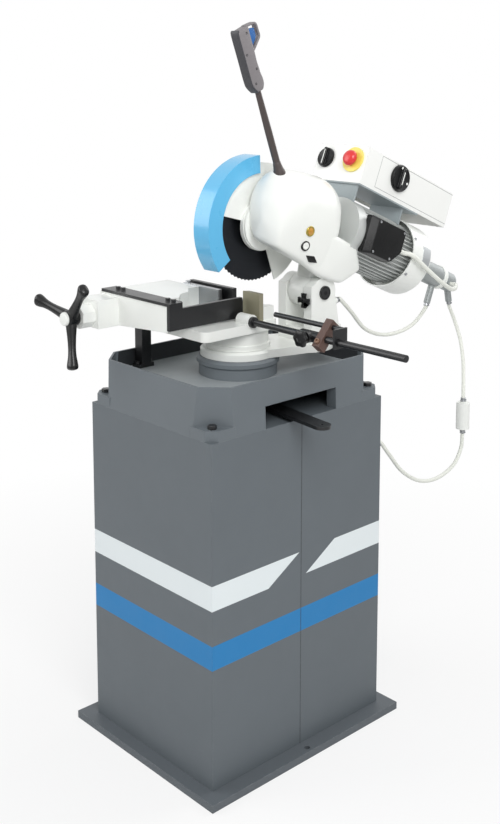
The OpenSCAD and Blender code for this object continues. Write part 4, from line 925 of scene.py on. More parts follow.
NODE_FINISH: dict[str, Finish] = {
    "base_plate": BASE, "cabinet_front": CABINET, "cabinet_rear": CABINET, "coolant_tank": TANK,
    "hose_gland": PALE_PLASTIC, "coolant_tray": TRAY, "tray_bolts": BLACK_STEEL, "pedestal": IRON,
    "vise_base": WHITE, "vise_post": BLACK_STEEL, "vise_bed": WHITE, "jaw_fixed_left": BLACK_STEEL,
    "jaw_fixed_right": OLIVE, "guide_rod": BLACK_STEEL, "return_hose": HOSE, "lock_lever": BLACK_STEEL,
    "turntable_plate": WHITE, "column": WHITE, "hinge_pin": BLACK_STEEL, "coolant_hose": HOSE,
    "suction_hose": HOSE, "hose_filter": PALE_PLASTIC, "column_knob": BLACK_PLASTIC, "gear_case": WHITE,
    "gear_cover": WHITE, "oil_plugs": BRASS, "spindle_bearings": STEEL, "motor_body": MOTOR, "stator": COPPER,
    "fan_cover": WHITE, "terminal_box": BLACK_PLASTIC, "control_box": BOX_WHITE, "box_bracket": BRACKET,
    "handle_rod": ROD, "grip": GREY_PLASTIC, "fixed_guard": WHITE, "coolant_pump": PUMP, "pump_cable": HOSE,
    "saw_blade": BLADE, "blade_flange": FLANGE, "spindle": STEEL, "worm_wheel": BRONZE, "worm": STEEL,
    "rotor": STEEL, "cooling_fan": BLACK_PLASTIC, "blade_guard": GUARD_BLUE, "trigger": BLUE,
    "estop_button": RED, "selector_knob": BLACK_PLASTIC, "main_switch": BLACK_PLASTIC,
    "handwheel": BLACK_PLASTIC, "vise_screw": STEEL, "jaw_slide": WHITE, "jaw_plate": STEEL,
    "front_strip": BLACK_STEEL, "cutoff_arm": BLACK_STEEL, "stop_clamp": BROWN, "stop_rod": BLACK_STEEL,
    "stop_knob": BLACK_PLASTIC,
}


def dress(piece: bpy.types.Object, finish: Finish) -> None:
    """Gives a piece one finish in place of its materials."""
    piece.data.materials.clear()
    piece.data.materials.append(finish.material())


def make_piece(name: str, surface: Surface, finish: Finish, body: str,
               replaced: Iterable[str] = (), smooth: float = 35.0, rides: bool = True) -> bpy.types.Object:
    """Puts a surface into a mesh object, dresses it and fixes it to its body.

    Args:
        name: the piece's name.
        surface: points and faces in the part's frame, in metres.
        finish: its finish.
        body: the CAD body that it moves with.
        replaced: CAD nodes that it stands for.
        smooth: edges that turn by less than this are shaded smooth, degrees.
        rides: whether it is fixed to the body here.

    Returns:
        The new object.
    """
    mesh = bpy.data.meshes.new(name)
    faces = surface.quads.tolist() + [c.tolist() for c in surface.caps]
    mesh.from_pydata(surface.points.tolist(), [], faces)
    mesh.polygons.foreach_set("use_smooth", np.ones(len(mesh.polygons), bool))
    mesh.set_sharp_from_angle(angle=math.radians(smooth))
    mesh.validate()
    piece = bpy.data.objects.new(name, mesh)
    bpy.context.scene.collection.objects.link(piece)
    dress(piece, finish)
    if replaced:
        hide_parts(*replaced)
    if rides:
        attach(piece, body)
    LOG.info("%s: %d points on %s", name, len(surface.points), body)
    return piece


@dataclass
class Studio:
    """Camera at the photograph's place, soft lamps, a pale floor and a white surround."""

    eye: tuple[float, float, float] = (2.0287, -1.8310, 1.6269)
    yaw: float = 47.32
    pitch: float = 8.0
    lens: float = 50.68
    sensor: float = 36.0
    shift: float = -0.2259
    sight: float = 200.0
    floor_half: float = 30.0
    floor_tone: float = 0.86
    floor_roughness: float = 0.9
    glow: float = 0.7
    light: float = 0.42
    fade: tuple[float, float] = (0.5, 1.9)
    sink: float = 0.0004
    lamp_places: tuple = (("key_lamp", (2.6, -1.4, 3.2), (0.0, 0.1, 1.0), 2.2, 95.0),
                          ("left_lamp", (-2.4, -2.6, 2.2), (0.0, 0.0, 0.9), 2.6, 52.0),
                          ("back_lamp", (0.6, 3.0, 3.0), (0.0, 0.2, 1.1), 2.4, 46.0))

    def camera(self) -> None:
        """Makes the camera and looks it back along its yaw and down by its pitch."""
        data = bpy.data.cameras.new("photo_camera")
        data.lens, data.sensor_width, data.shift_y = self.lens, self.sensor, self.shift
        data.clip_end = self.sight
        cam = bpy.data.objects.new("photo_camera", data)
        cam.location = self.eye
        cam.rotation_euler = (math.radians(90 - self.pitch), 0.0, math.radians(self.yaw))
        bpy.context.scene.collection.objects.link(cam)
        bpy.context.scene.camera = cam

    def lamp(self, name: str, place: Sequence[float], aim: Sequence[float], size: float,
             watts: float) -> None:
        """Makes one square soft lamp that looks at a point.

        Args:
            name: the lamp's name.
            place: where it hangs.
            aim: the point that it looks at.
            size: the length of its side.
            watts: its strength.
        """
        data = bpy.data.lights.new(name, "AREA")
        data.shape, data.size, data.energy = "SQUARE", size, watts
        made = bpy.data.objects.new(name, data)
        made.location = place
        made.rotation_euler = (Vector(aim) - Vector(place)).to_track_quat("-Z", "Y").to_euler()
        bpy.context.scene.collection.objects.link(made)

    def world(self) -> None:
        """Makes the surround: white where it is seen, by gloss or through glass too, softer as a light."""
        world = bpy.data.worlds.new("surround")
        bpy.context.scene.world = world
        world.use_nodes = True
        nodes = Nodes(world.node_tree)
        path = nodes.node("ShaderNodeLightPath", {}, {})
        kinds = ("Is Camera Ray", "Is Glossy Ray", "Is Transmission Ray")
        rays = [Value(nodes, path.outputs[kind]) for kind in kinds]
        seen = reduce(lambda a, b: nodes.math("MAXIMUM", a, b), rays)
        light, white = (nodes.value("ShaderNodeBackground", {}, {0: (1, 1, 1, 1), 1: strength})
                        for strength in (self.light, 1.0))
        mixed = nodes.value("ShaderNodeMixShader", {}, {0: seen, 1: light, 2: white})
        nodes.node("ShaderNodeOutputWorld", {}, {0: mixed})

    def floor(self) -> None:
        """Makes the floor: pale and matt, and near white where the camera sees it outside the shadow."""
        h = self.floor_half
        corners = np.array([[-h, -h, 0], [h, -h, 0], [h, h, 0], [-h, h, 0]], float) - [0, 0, self.sink]
        mesh = bpy.data.meshes.new("floor")
        mesh.from_pydata(corners.tolist(), [], [[0, 1, 2, 3]])
        made = bpy.data.objects.new("floor", mesh)
        bpy.context.scene.collection.objects.link(made)
        sh = Shader("pale_floor")
        sh.set("Base Color", (*(self.floor_tone,) * 3, 1))
        sh.set("Roughness", self.floor_roughness)
        sh.set("Specular IOR Level", 0.0)
        glow = sh.value("ShaderNodeEmission", {}, {0: (1, 1, 1, 1), 1: 1.0})
        x, y, _ = sh.axes()
        away = sh.math("SQRT", x * x + y * y).ramp(*self.fade)
        seen = sh.value("ShaderNodeLightPath", {}, {}, "Is Camera Ray")
        share = (away * (1 - self.glow) + self.glow) * seen
        matt = Value(sh, sh.principled.outputs[0])
        sh.show(sh.value("ShaderNodeMixShader", {}, {0: share, 1: matt, 2: glow}))
        mesh.materials.append(sh.material)

    def build(self) -> None:
        """Makes everything that isn't the saw."""
        bpy.context.scene.view_settings.view_transform = "Standard"
        self.camera()
        for lamp in self.lamp_places:
            self.lamp(*lamp)
        self.world()
        self.floor()


@dataclass
class SoftLines:
    """The hoses and the cable, along the same places as their CAD solids."""

    hose: float = 10.0
    cable: float = 12.0
    lead: float = 8.0
    fitting_a: tuple[float, float, float] = (80.0, 622.4, -20.0)
    fitting_b: tuple[float, float, float] = (80.0, 714.2675, 10.4892)
    fitting_b_lean: float = 35.0
    column_stub: tuple[float, float, float] = (105.0, 231.0, -28.0)
    cable_start: tuple[float, float, float] = (170.6, 346.0, 56.0)
    cable_end: tuple[float, float, float] = (111.0, 662.5, 49.0)
    filter_place: tuple[float, float] = (184.0, 654.0)
    filter_top: float = -352.0
    filter_low: float = -434.0
    gland_end: tuple[float, float, float] = (192.0, 293.0, 684.0)
    stub_reach: float = 30.0
    samples: int = 7
    sides: int = 14
    coolant_route: tuple = ((103, 290, -66), (100, 345, -118), (96, 415, -146), (91, 490, -152),
                            (85, 560, -140))
    suction_route: tuple = ((88, 734, -158), (108, 736, -210), (136, 714, -262), (164, 680, -304))
    return_route: tuple = ((185, 648, -484), (188, 612, -522), (190, 540, -540), (191, 465, -528),
                           (192, 395, -486), (192, 345, -432))
    cable_route: tuple = ((183, 430, 70), (187, 480, 32), (186, 535, -6), (172, 600, -38), (148, 652, -48))
    clamp_ring: tuple = ((8.4, -1), (8.4, 0.5), (6.8, 1.2), (6.8, 8.2), (6.3, 8.8), (4.6, 8.8))
    clamp_screw: tuple[float, float] = (2.6, 3)
    clamp_screw_place: tuple[float, float, float] = (6.2, 0, 4.7)

    def hung(self, points: Sequence[tuple[float, float, float]]) -> Array:
        """Turns places whose heights count from the hinge into places in the part's frame, in metres."""
        return np.array(points, float) * MM + [0, 0, HINGE_Z]

    def lead_in(self, start: Array, way: Array) -> Array:
        """Gives the straight first steps of a line out of its fitting."""
        return start + np.arange(3)[:, None] * self.lead * MM * way

    def route(self, start: Array, start_way: Array, middle: Sequence, end: Array, end_way: Array) -> Array:
        """Joins a straight start, the hanging middle and a straight end into one smooth line."""
        leads = self.lead_in(start, start_way), self.lead_in(end, end_way)[::-1]
        return spline(np.vstack([leads[0], self.hung(middle), leads[1]]), self.samples)

    def line(self, name: str, path: Array, diameter: float, reference: Array, bodies: tuple[str, str],
             reach: Union[tuple[Array, Array], None], stiffness: str) -> None:
        """Args:
            name: the CAD node that it stands for.
            path: its centreline.
            diameter: outer diameter, mm.
            reference: a direction that it never runs along.
            bodies: the bodies at its two ends.
            reach: two points near its ends; only whether it is given is read, and then the line is fixed to
                no body.
            stiffness: how stiff it is; not used.
        """
        skin = tube(path, diameter * MM / 2, self.sides, reference)
        piece = make_piece(name + "_tube", skin, HOSE, bodies[0], [name], smooth=60.0,
                           rides=reach is None)
        if reach is not None:
            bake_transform(piece)
        diameter * MM

    def clamp(self, name: str, place: Array, way: Array, body: str) -> None:
        """Makes a steel clamp where a hose leaves its fitting: a stepped ring with a screw on its side.

        Args:
            name: the piece's name.
            place: where the hose leaves.
            way: the direction that it leaves in.
            body: the body that the fitting belongs to.
        """
        ring = lathe(self.clamp_ring)
        axes = Axes(place, EX, np.cross(way, EX), way)
        screw = screw_head(*self.clamp_screw).placed(axes.at(*self.clamp_screw_place).facing(Way.RIGHT))
        make_piece(name, ring.placed(axes) + screw, STEEL, body)

    def build(self) -> None:
        """Makes the four soft lines and the clamps on their ends."""
        a, b, start, end = (HEAD.place(np.array(place) * MM) for place in (
            self.fitting_a, self.fitting_b, self.cable_start, self.cable_end))
        lean = math.radians(self.fitting_b_lean)
        b_way = HEAD.v * math.sin(lean) - HEAD.w * math.cos(lean)
        stub = self.hung([self.column_stub])[0]
        top, low = (self.hung([(*self.filter_place, h)])[0] for h in (self.filter_top, self.filter_low))
        gland = np.array(self.gland_end) * MM
        coolant = self.route(stub, EY, self.coolant_route, a, -HEAD.w)
        suction = self.route(b, b_way, self.suction_route, top, EZ)
        returns = self.route(low, -EZ, self.return_route, gland, EY)
        cable = self.route(start, HEAD.v, self.cable_route, end, EX)
        step = self.stub_reach * MM * EY
        swing = (stub + step, a - step)
        self.line("coolant_hose", coolant, self.hose, EX, ("turntable", "head"), swing, "medium")
        self.line("suction_hose", suction, self.hose, EX, ("turntable", "head"), (top, b), "medium")
        self.line("return_hose", returns, self.hose, EX, ("stand", "turntable"), (gland, low), "medium")
        self.line("pump_cable", cable, self.cable, EZ, ("head", "head"), None, "stiff")
        ends = (("clamp_stub", stub, EY, "turntable"), ("clamp_a", a, -HEAD.w, "head"),
                ("clamp_b", b, b_way, "head"), ("clamp_top", top, EZ, "turntable"),
                ("clamp_low", low, -EZ, "turntable"), ("clamp_gland", gland, EY, "stand"))
        for clamp in ends:
            self.clamp(*clamp)


@dataclass(frozen=True)
class Casting:
    """A convex cast form: the skin drawn tight over balls and cut by flat facets, in head axes."""

    balls: tuple
    facets: tuple
    line: tuple
    directions: int = 3600
    softness: float = 0.7
    rows: int = 130
    columns: int = 168
    pole: float = 0.002
    grazing: float = 0.02
    unreached: float = 1e6

    def planes(self) -> tuple[Array, Array]:
        """Lists the planes that the form lies within.

        Directions spread evenly over a ball by the golden angle, and each plane touches the ball that reaches
        furthest along its direction. The facets are further planes, each at its own distance.

        Returns:
            The planes' directions and how far each lies from the head's origin, mm.
        """
        k = np.arange(self.directions) + 0.5
        height, turn = 1 - 2 * k / self.directions, np.pi * (1 + 5 ** 0.5) * k
        flat = np.sqrt(1 - height ** 2)
        cuts = np.array([way for way, _ in self.facets], float)
        cuts /= np.linalg.norm(cuts, axis=1, keepdims=True)
        b = np.array(self.balls, float)
        ways = np.stack([flat * np.cos(turn), flat * np.sin(turn), height], -1)
        reach = (ways @ b[:, :3].T + b[:, 3]).max(-1)
        return np.vstack([ways, cuts]), np.r_[reach, [distance for _, distance in self.facets]]

    def grid(self) -> Array:
        """Sends rays from the form's middle line out to the nearest plane.

        The first parameter runs along the middle line while the rays turn from forwards to backwards, the
        second is the angle round it. The distance along a ray is the soft least of those to all planes.

        Returns:
            Rings of points in head axes, mm.
        """
        ways, reach = self.planes()
        v = np.linspace(0, 1, self.rows)
        angles = [self.pole, np.pi / 2, np.pi / 2, np.pi - self.pole]
        turn = np.interp(v, [0, 0.25, 0.75, 1], angles)[:, None]
        a = np.linspace(0, 2 * np.pi, self.columns, endpoint=False)[None]
        x, q, p = np.array(self.line, float).T
        along = np.interp(v, [0.2, 0.8], q[[0, -1]])
        start = np.stack([np.interp(along, q, x), along, np.interp(along, q, p)], -1)
        rays = np.stack([np.sin(turn) * np.sin(a), -np.cos(turn) + 0 * a, np.sin(turn) * np.cos(a)], -1)
        rings = []
        for place, ring in zip(start, rays):
            slope = ring @ ways.T
            far = (reach - ways @ place) / np.maximum(slope, self.grazing)
            far = np.where(slope > self.grazing, far, self.unreached)
            near = far.min(-1, keepdims=True)
            length = near[:, 0] - self.softness * np.log(np.exp((near - far) / self.softness).sum(-1))
            rings.append(place + (length + self.softness)[:, None] * ring)
        return np.array(rings)


@dataclass
class GearCase:
    """The white gear case: its cast dome and tail, its hinge barrel, its cover, its plugs, and a black slab
    in its slot that paints the shade inside it.
    """

    dome: Casting = Casting(
        ((60, 20, 55, 91), (58, 93, 70, 90), (70, -34, 105, 28), (42, -48, 14, 9), (82, -48, 2, 9),
         (118, -22, -20, 8), (112, -12, -44, 8), (56, -34, -34, 9), (62, 6, 0, 46), (122, 120, -56, 14),
         (133, 136, 32, 13)),
        (((1, 0, 0.02), 149.5),), ((66, -40, 34), (70, 20, 44), (72, 120, 44)))
    tail: Casting = Casting(
        ((112, 20, -40, 12), (122, 138, -66, 14), (124, 206, -63, 12), (133, 247, -22, 10),
         (143, 206, 14, 10), (134, 124, 20, 12)),
        (((1, 0, 0.02), 150.0),), ((112, 24, -38), (118, 138, -22), (130, 234, -24)))
    inner_x: float = 34.0
    motor: tuple[float, float, float, float] = (80.0, 58.0, 81.0, 66.0)
    motor_start: float = 190.0
    barrel: tuple[float, float, float] = (178.0, -107.0, 40.0)
    barrel_x: tuple[float, float] = (30.4, 91.6)
    bore: float = 14.0
    bevel: float = 2.0
    web: tuple[float, float, float] = (34.4, 57.2, 30.0)
    web_rise: float = 92.0
    web_growth: tuple[float, float] = (0.45, 0.8)
    web_power: float = 2.4
    disc_x: float = 28.0
    disc: tuple = ((20, 0), (57, 0), (60, 1.6), (60, 5), (57, 6.2), (20, 6.2))
    rim: tuple = ((12.5, -9), (12.5, 1.4), (11.6, 2.4), (9.4, 2.4), (8.8, 1.2), (0.2, 1.2))
    glass: tuple = ((8.7, 0), (8.7, 1.6), (6, 2.6), (2.6, 2.9), (2.4, 3.6), (0.2, 3.6))
    plug: tuple = ((8.7, 0), (8.7, 2.6), (7.8, 3.6), (3.4, 3.6), (3, 2.4), (0.2, 2.4))
    # The slot's outline; it is filled black as painted shade.
    slot: tuple = ((-20, 3), (-4, -9), (20, -3), (4, 9))
    slot_corner: float = 2.0
    slot_depths: tuple[float, float, float] = (-7, 2.4, 0.6)
    seats: tuple = ((43, 11), (50, -24), (84, -47))

    def trimmed(self, casting: Casting) -> Surface:
        """Flattens a casting on its blade side and draws it in where the motor stands.

        Args:
            casting: the cast form.

        Returns:
            The closed skin in head axes.
        """
        points = casting.grid()
        points[..., 0] = np.maximum(points[..., 0], self.inner_x)
        x, p, outer, inner = self.motor
        away = points[..., [0, 2]] - [x, p]
        r = np.linalg.norm(away, axis=-1, keepdims=True)
        hidden = (points[..., 1:2] > self.motor_start) & (r < outer)
        points[..., [0, 2]] = np.where(hidden, [x, p] + away * np.minimum(inner / r, 1), points[..., [0, 2]])
        return loft(points)

    def hinge(self) -> Surface:
        """Makes the barrel, and the web that widens by a power of its height up into the casting.

        Returns:
            Both surfaces in head axes.
        """
        q, p, r = self.barrel
        x0, x1 = self.barrel_x
        b, bore = self.bevel, self.bore
        turned = lathe([(bore, x0), (r - b, x0), (r, x0 + b), (r, x1 - b), (r - b, x1), (bore, x1)], 72)
        left, width, depth = self.web
        t = np.linspace(0, 1, 18)[:, None]
        o = rounded_outline(2, 2, 0.4, 8)[None]
        wider, deeper = (1 + growth * t ** self.web_power for growth in self.web_growth)
        rings = np.stack([left + width * wider * (o[..., 0] + 1) / 2, q + depth * o[..., 1] * deeper,
                          p + self.web_rise * t + 0 * o[..., 0]], -1)
        return Surface(turned.points[:, [2, 0, 1]] + [0, q, p], turned.quads, turned.caps) + loft(rings)

    def seat(self, q: float, p: float) -> Axes:
        """Gives a frame on the right side: the further of dome and tail, each its nearest plane along x.

        Args:
            q: place along the motor, mm.
            p: place across the motor, mm.

        Returns:
            The frame, its third direction out of the skin and its first one along the motor.
        """
        found = []
        for casting in (self.dome, self.tail):
            ways, reach = casting.planes()
            right = ways[:, 0] > 0.1
            x = (reach[right] - ways[right, 1:] @ [q, p]) / ways[right, 0]
            found.append((x.min(), *ways[right][x.argmin()]))
        x, *way = max(found)
        w = HEAD.direction(np.array(way) + (1.0, 0, 0))
        w /= np.linalg.norm(w)
        u = HEAD.v - w * (HEAD.v @ w)
        u /= np.linalg.norm(u)
        return Axes(HEAD.place(np.array([x, q, p]) * MM), u, np.cross(w, u), w)

    def build(self) -> None:
        """Makes the casting and what is screwed into it."""
        skin = joined([self.trimmed(self.dome), self.trimmed(self.tail), self.hinge()])
        make_piece("gear_case_skin", skin.placed(HEAD), WHITE, "head", ["gear_case"],
                   smooth=48)
        disc = lathe(self.disc, 96).placed(HEAD.at(self.disc_x, 0, 0).facing(Way.RIGHT))
        make_piece("cover_disc", disc, WHITE, "head", ["gear_cover"])
        sight, drain, opening = (self.seat(*place) for place in self.seats)
        make_piece("sight_rim", lathe(self.rim).placed(sight), BRASS, "head", ["oil_plugs"])
        make_piece("sight_glass", lathe(self.glass).placed(sight), AMBER, "head")
        make_piece("drain_ring", lathe(self.rim).placed(drain), BLACK_PLASTIC, "head")
        make_piece("drain_plug", lathe(self.plug).placed(drain), WHITE, "head")
        # Painted shade: a black slab stands in for the shade inside the slot opening.
        mark = slab(rounded(self.slot, self.slot_corner), *self.slot_depths)
        make_piece("case_slot_shade", mark.placed(opening), BLACK_PLASTIC, "head")


@dataclass
class Handle:
    """The handle rod's foot, the moulded grip with its loop, and the trigger inside the loop."""

    foot: tuple[float, float, float] = (80.0, -48.0, 124.0)
    lean: float = 43.0
    rod: float = 200.0
    grip_turn: float = 3.0
    length: float = 152.0
    thickness: float = 24.0
    grip_rounds: tuple[float, float] = (6, 4)
    loop_section: tuple[float, float, float] = (16.0, 5.2, 1.8)
    edge_section: tuple[float, float, float] = (25.2, 5.0, 2.0)
    trigger_width: float = 10.0
    trigger_rounds: tuple[float, float] = (3, 2)
    screw: tuple[float, float] = (2.8, 1.2)
    screw_sink: float = 0.6
    body: tuple = ((-9, 0), (9, 0), (13, 0.033), (17.5, 0.08), (18.5, 0.17), (16, 0.263), (16.5, 0.34),
                   (15.5, 0.42), (17, 0.52), (18, 0.6), (19, 0.75), (20, 0.9), (21, 0.99), (-11, 0.98),
                   (-16, 0.94), (-21, 0.184), (-17, 0.08))
    loop: tuple = ((15, 0.59), (22, 0.617), (34, 0.678), (45, 0.735), (48.3, 0.775), (48.3, 0.85),
                   (48.3, 0.93), (45, 0.966), (36, 0.977), (24, 0.981), (16, 0.982))
    trigger: tuple = ((8, 0.651), (21, 0.655), (35, 0.734), (40, 0.776), (41, 0.908), (22, 0.931),
                      (21, 0.908), (21, 0.704), (8, 0.704))
    # The front band's path; its dark grey paints the shade on the grip's front.
    edge: tuple = ((-10.5, 0.975), (-15, 0.935), (-17.6, 0.56), (-20, 0.184), (-16.5, 0.085), (-9, 0.004))
    screws: tuple = ((-9, 0.6), (7, 0.34), (9, 0.9), (-8, 0.14))
    flare: tuple = ((15, -16), (14.6, -4), (13.6, 1), (11.6, 7), (10.2, 14), (9.3, 22), (8.4, 24))

    def outline(self, shares: Sequence[tuple[float, float]]) -> Array:
        """Turns depths and shares of the grip's length into millimetres."""
        return np.array(shares, float) * [1, self.length]

    def rail(self, shares: Sequence[tuple[float, float]], samples: int) -> Array:
        """Runs a smooth line through an outline's points."""
        return spline(np.column_stack([np.zeros(len(shares)), self.outline(shares)]), samples)[:, 1:]

    def moulding(self, shares: Sequence[tuple[float, float]], width: float,
                 rounds: tuple[float, float]) -> Surface:
        """Makes a slab of an outline, with round corners and edges.

        Args:
            shares: the outline's points.
            width: the slab's width, mm.
            rounds: radius of its corners and of its edges, mm.

        Returns:
            The closed slab.
        """
        corner, edge = rounds
        return slab(rounded(self.outline(shares), corner), -width / 2, width / 2, edge)

    def build(self) -> None:
        """Makes the foot's flare, the grip, a dark band that paints the shade on its front, its screws and
        the trigger.
        """
        rod = HEAD.at(*self.foot).leaning(self.lean)
        make_piece("handle_foot", lathe(self.flare, 48).placed(rod), ROD, "head")
        grip = rod.at(0, 0, self.rod).leaning(self.grip_turn)
        side = grip.facing(Way.RIGHT)
        half = self.thickness / 2
        solid = self.moulding(self.body, self.thickness, self.grip_rounds).placed(side)
        ring = band(self.rail(self.loop, 4), rounded_outline(*self.loop_section)).placed(grip)
        make_piece("grip_body", solid + ring, GREY_PLASTIC, "head", ["grip"])
        # Painted shade: a dark band along the grip's front.
        front = band(self.rail(self.edge, 5), rounded_outline(*self.edge_section)).placed(grip)
        make_piece("grip_front_shade", front, GRIP_FRONT_SHADE, "head")
        heads = [screw_head(*self.screw).placed(side.at(t, z, half - self.screw_sink))
                 for t, z in self.outline(self.screws)]
        make_piece("grip_screws", joined(heads), BLACK_STEEL, "head")
        lever = self.moulding(self.trigger, self.trigger_width, self.trigger_rounds).placed(side)
        make_piece("trigger_lever", lever, BLUE, "trigger", ["trigger"])


@dataclass
class Controls:
    """The emergency stop button, the selector and the main switch on the control box."""

    stop: tuple[float, float, float] = (85.0, 170.6, 235.0)
    selector: tuple[float, float, float] = (-8.0, 182.0, 235.0)
    switch: tuple[float, float, float] = (125.0, 320.0, 237.0)
    gap: float = 0.4
    selector_sizes: tuple = (26.0, 50.0, (2.6, 38, 0.8, 1.2, 0.3))
    switch_sizes: tuple = (35.0, 54.0, (3, 34, 0.8, 1.4, 0.3))
    bar_rise: float = 14.0
    mark_sink: float = 0.2
    dots: tuple = ((-12, 24), (27, 1))
    dot: tuple = ((3.4, 0), (3.4, 0.8), (2.8, 1.2), (0.2, 1.2))
    dots_turn: float = -14.0
    dots_rise: float = 6.6
    mushroom: tuple = ((8, -22), (8, -0.5), (17.5, 0), (19.6, 1.6), (20, 4), (19.4, 8), (17, 12),
                       (12.5, 14.8), (6, 16), (0.2, 16.2))

    def dial(self, radius: float) -> Surface:
        """Turns a flat dial with a rounded rim and a stem behind it.

        Args:
            radius: the dial's radius, mm.

        Returns:
            The closed dial.
        """
        g = self.gap
        return lathe([(8, -14), (8, g), (radius - 1, g), (radius, g + 1), (radius, g + 4),
                      (radius - 2, g + 7.4), (radius - 3.5, g + 8), (radius - 6, g + 7), (0.2, g + 7)], 72)

    def bar(self, length: float) -> Surface:
        """Makes the finger bar across a dial: a long outline with round ends.

        Args:
            length: the bar's length, mm.

        Returns:
            The closed bar.
        """
        end, wide, tip = length / 2, 5.6, 5
        outline = [(-tip, -end), (tip, -end), (wide, 0), (tip, end), (-tip, end), (-wide, 0)]
        return slab(rounded(outline, 4), 4, self.gap + self.bar_rise, 2.4)

    def rotary(self, name: str, axes: Axes, sizes: tuple, body: str, node: str) -> None:
        """Makes one switch: the dial with its finger bar, and the white mark on the bar.

        Args:
            name: how its pieces' names start.
            axes: the frame on the box, its third direction out of the dial.
            sizes: the dial's radius, the bar's length and the mark's own sizes, mm.
            body: the body that turns.
            node: the CAD node that the dial stands for.
        """
        radius, length, mark = sizes
        dial = self.dial(radius) + self.bar(length)
        make_piece(name + "_dial", dial.placed(axes), BLACK_PLASTIC, body, [node])
        top = axes.at(0, 0, self.gap + self.bar_rise - self.mark_sink)
        make_piece(name + "_mark", plate(*mark).placed(top), PALE_PLASTIC, body)

    def build(self) -> None:
        """Makes the button, and both switches with their white marks."""
        stop, selector = (HEAD.at(*place).facing(Way.FRONT) for place in (self.stop, self.selector))
        switch = HEAD.at(*self.switch).facing(Way.RIGHT)
        button = lathe(self.mushroom, 64).placed(stop)
        make_piece("estop_mushroom", button, RED, "estop", ["estop_button"], smooth=50)
        self.rotary("selector", selector, self.selector_sizes, "selector", "selector_knob")
        self.rotary("switch", switch, self.switch_sizes, "power_switch", "main_switch")
        turned = switch.spun(self.dots_turn)
        spots = [lathe(self.dot, 24).placed(turned.at(a, b, self.gap + self.dots_rise)) for a, b in self.dots]
        make_piece("switch_dots", joined(spots), PALE_PLASTIC, "power_switch")


@dataclass
class MotorEnd:
    """What the motor carries: the terminal box, a bare plate, the cover's screws and the pump's rings."""

    axis: tuple[float, float] = (80.0, 58.0)
    box_x: tuple[float, float, float] = (151.0, 164.0, 179.0)
    box: tuple = ((214, 14), (312, 14), (346, 48), (346, 110), (214, 110))
    lid: tuple = ((232, 18), (310, 18), (341, 50), (341, 106), (232, 106))
    lid_screws: tuple = ((238, 24), (304, 24), (335, 100), (238, 100))
    cover_r: float = 93.0
    plate_angles: tuple[float, float] = (-24, 9)
    plate_span: tuple[float, float] = (438, 469)
    plate_rise: float = 0.7
    pump: tuple = ((30, 32.0, 629, 645), (29, 31.6, 487, 494))
    groove: float = 0.975
    lid_screw: tuple[float, float] = (3.2, 1.4)
    cover_screw: tuple[float, float] = (4, 3)
    screw_q: float = 404.0
    screw_angles: tuple = (30, 150, 210, 330)

    def terminal_box(self) -> None:
        """Lofts the box from its foot over a seam to a lid with a sloping front."""
        foot, seam, top = self.box_x
        wide, flat = rounded(self.box, 6), rounded(self.lid, 6)
        middle = np.mean(self.box, axis=0)
        groove = middle + (wide - middle) * self.groove
        stack = [(wide, foot), (wide, seam - 1.6), (groove, seam - 1.2), (groove, seam - 0.4), (wide, seam),
                 (wide, seam + 2.5), (flat + (wide - flat) * 0.12, top - 1.2),
                 (flat + (wide - flat) * 0.05, top - 0.3), (flat, top)]
        rings = np.array([np.column_stack([o, np.full(len(o), x)]) for o, x in stack])
        side = HEAD.facing(Way.RIGHT)
        make_piece("terminal_case", loft(rings).placed(side), BLACK_PLASTIC, "head",
                   ["terminal_box"], smooth=24)
        heads = [screw_head(*self.lid_screw).placed(side.at(a, b, top - 0.2)) for a, b in self.lid_screws]
        make_piece("terminal_screws", joined(heads), STEEL, "head")

    def outward(self, motor: Axes, degrees: float) -> Axes:
        """Gives a frame on the fan cover that looks straight out from the motor's axis.

        Args:
            motor: the motor's own frame, its third direction along the axis.
            degrees: the angle round the axis.

        Returns:
            The frame, at the place of a screw.
        """
        t = math.radians(degrees)
        place = np.array([self.cover_r * math.cos(t), self.cover_r * math.sin(t), self.screw_q])
        side, out = (-math.sin(t), math.cos(t), 0), (math.cos(t), math.sin(t), 0)
        return Axes(motor.place(place * MM), motor.w, motor.direction(side), motor.direction(out))

    def build(self) -> None:
        """Makes the box, the bare plate, the rings and the screws."""
        self.terminal_box()
        x, p = self.axis
        motor = Axes(HEAD.at(x, 0, p).origin, HEAD.u, -HEAD.w, HEAD.v)
        bare = wrapped_plate(self.cover_r, self.plate_angles, self.plate_span, self.plate_rise)
        make_piece("cover_plate_0", bare.placed(motor), BARE_PLATE, "head")
        rings = [lathe([(a - 1, q0), (b - 1, q0), (b, q0 + 1), (b, q1 - 1), (b - 1, q1), (a - 1, q1)], 56)
                 for a, b, q0, q1 in self.pump]
        make_piece("pump_rings", joined(rings).placed(motor), PALE_PLASTIC, "head")
        heads = [screw_head(*self.cover_screw).placed(self.outward(motor, angle))
                 for angle in self.screw_angles]
        make_piece("cover_screws", joined(heads), STEEL, "head")


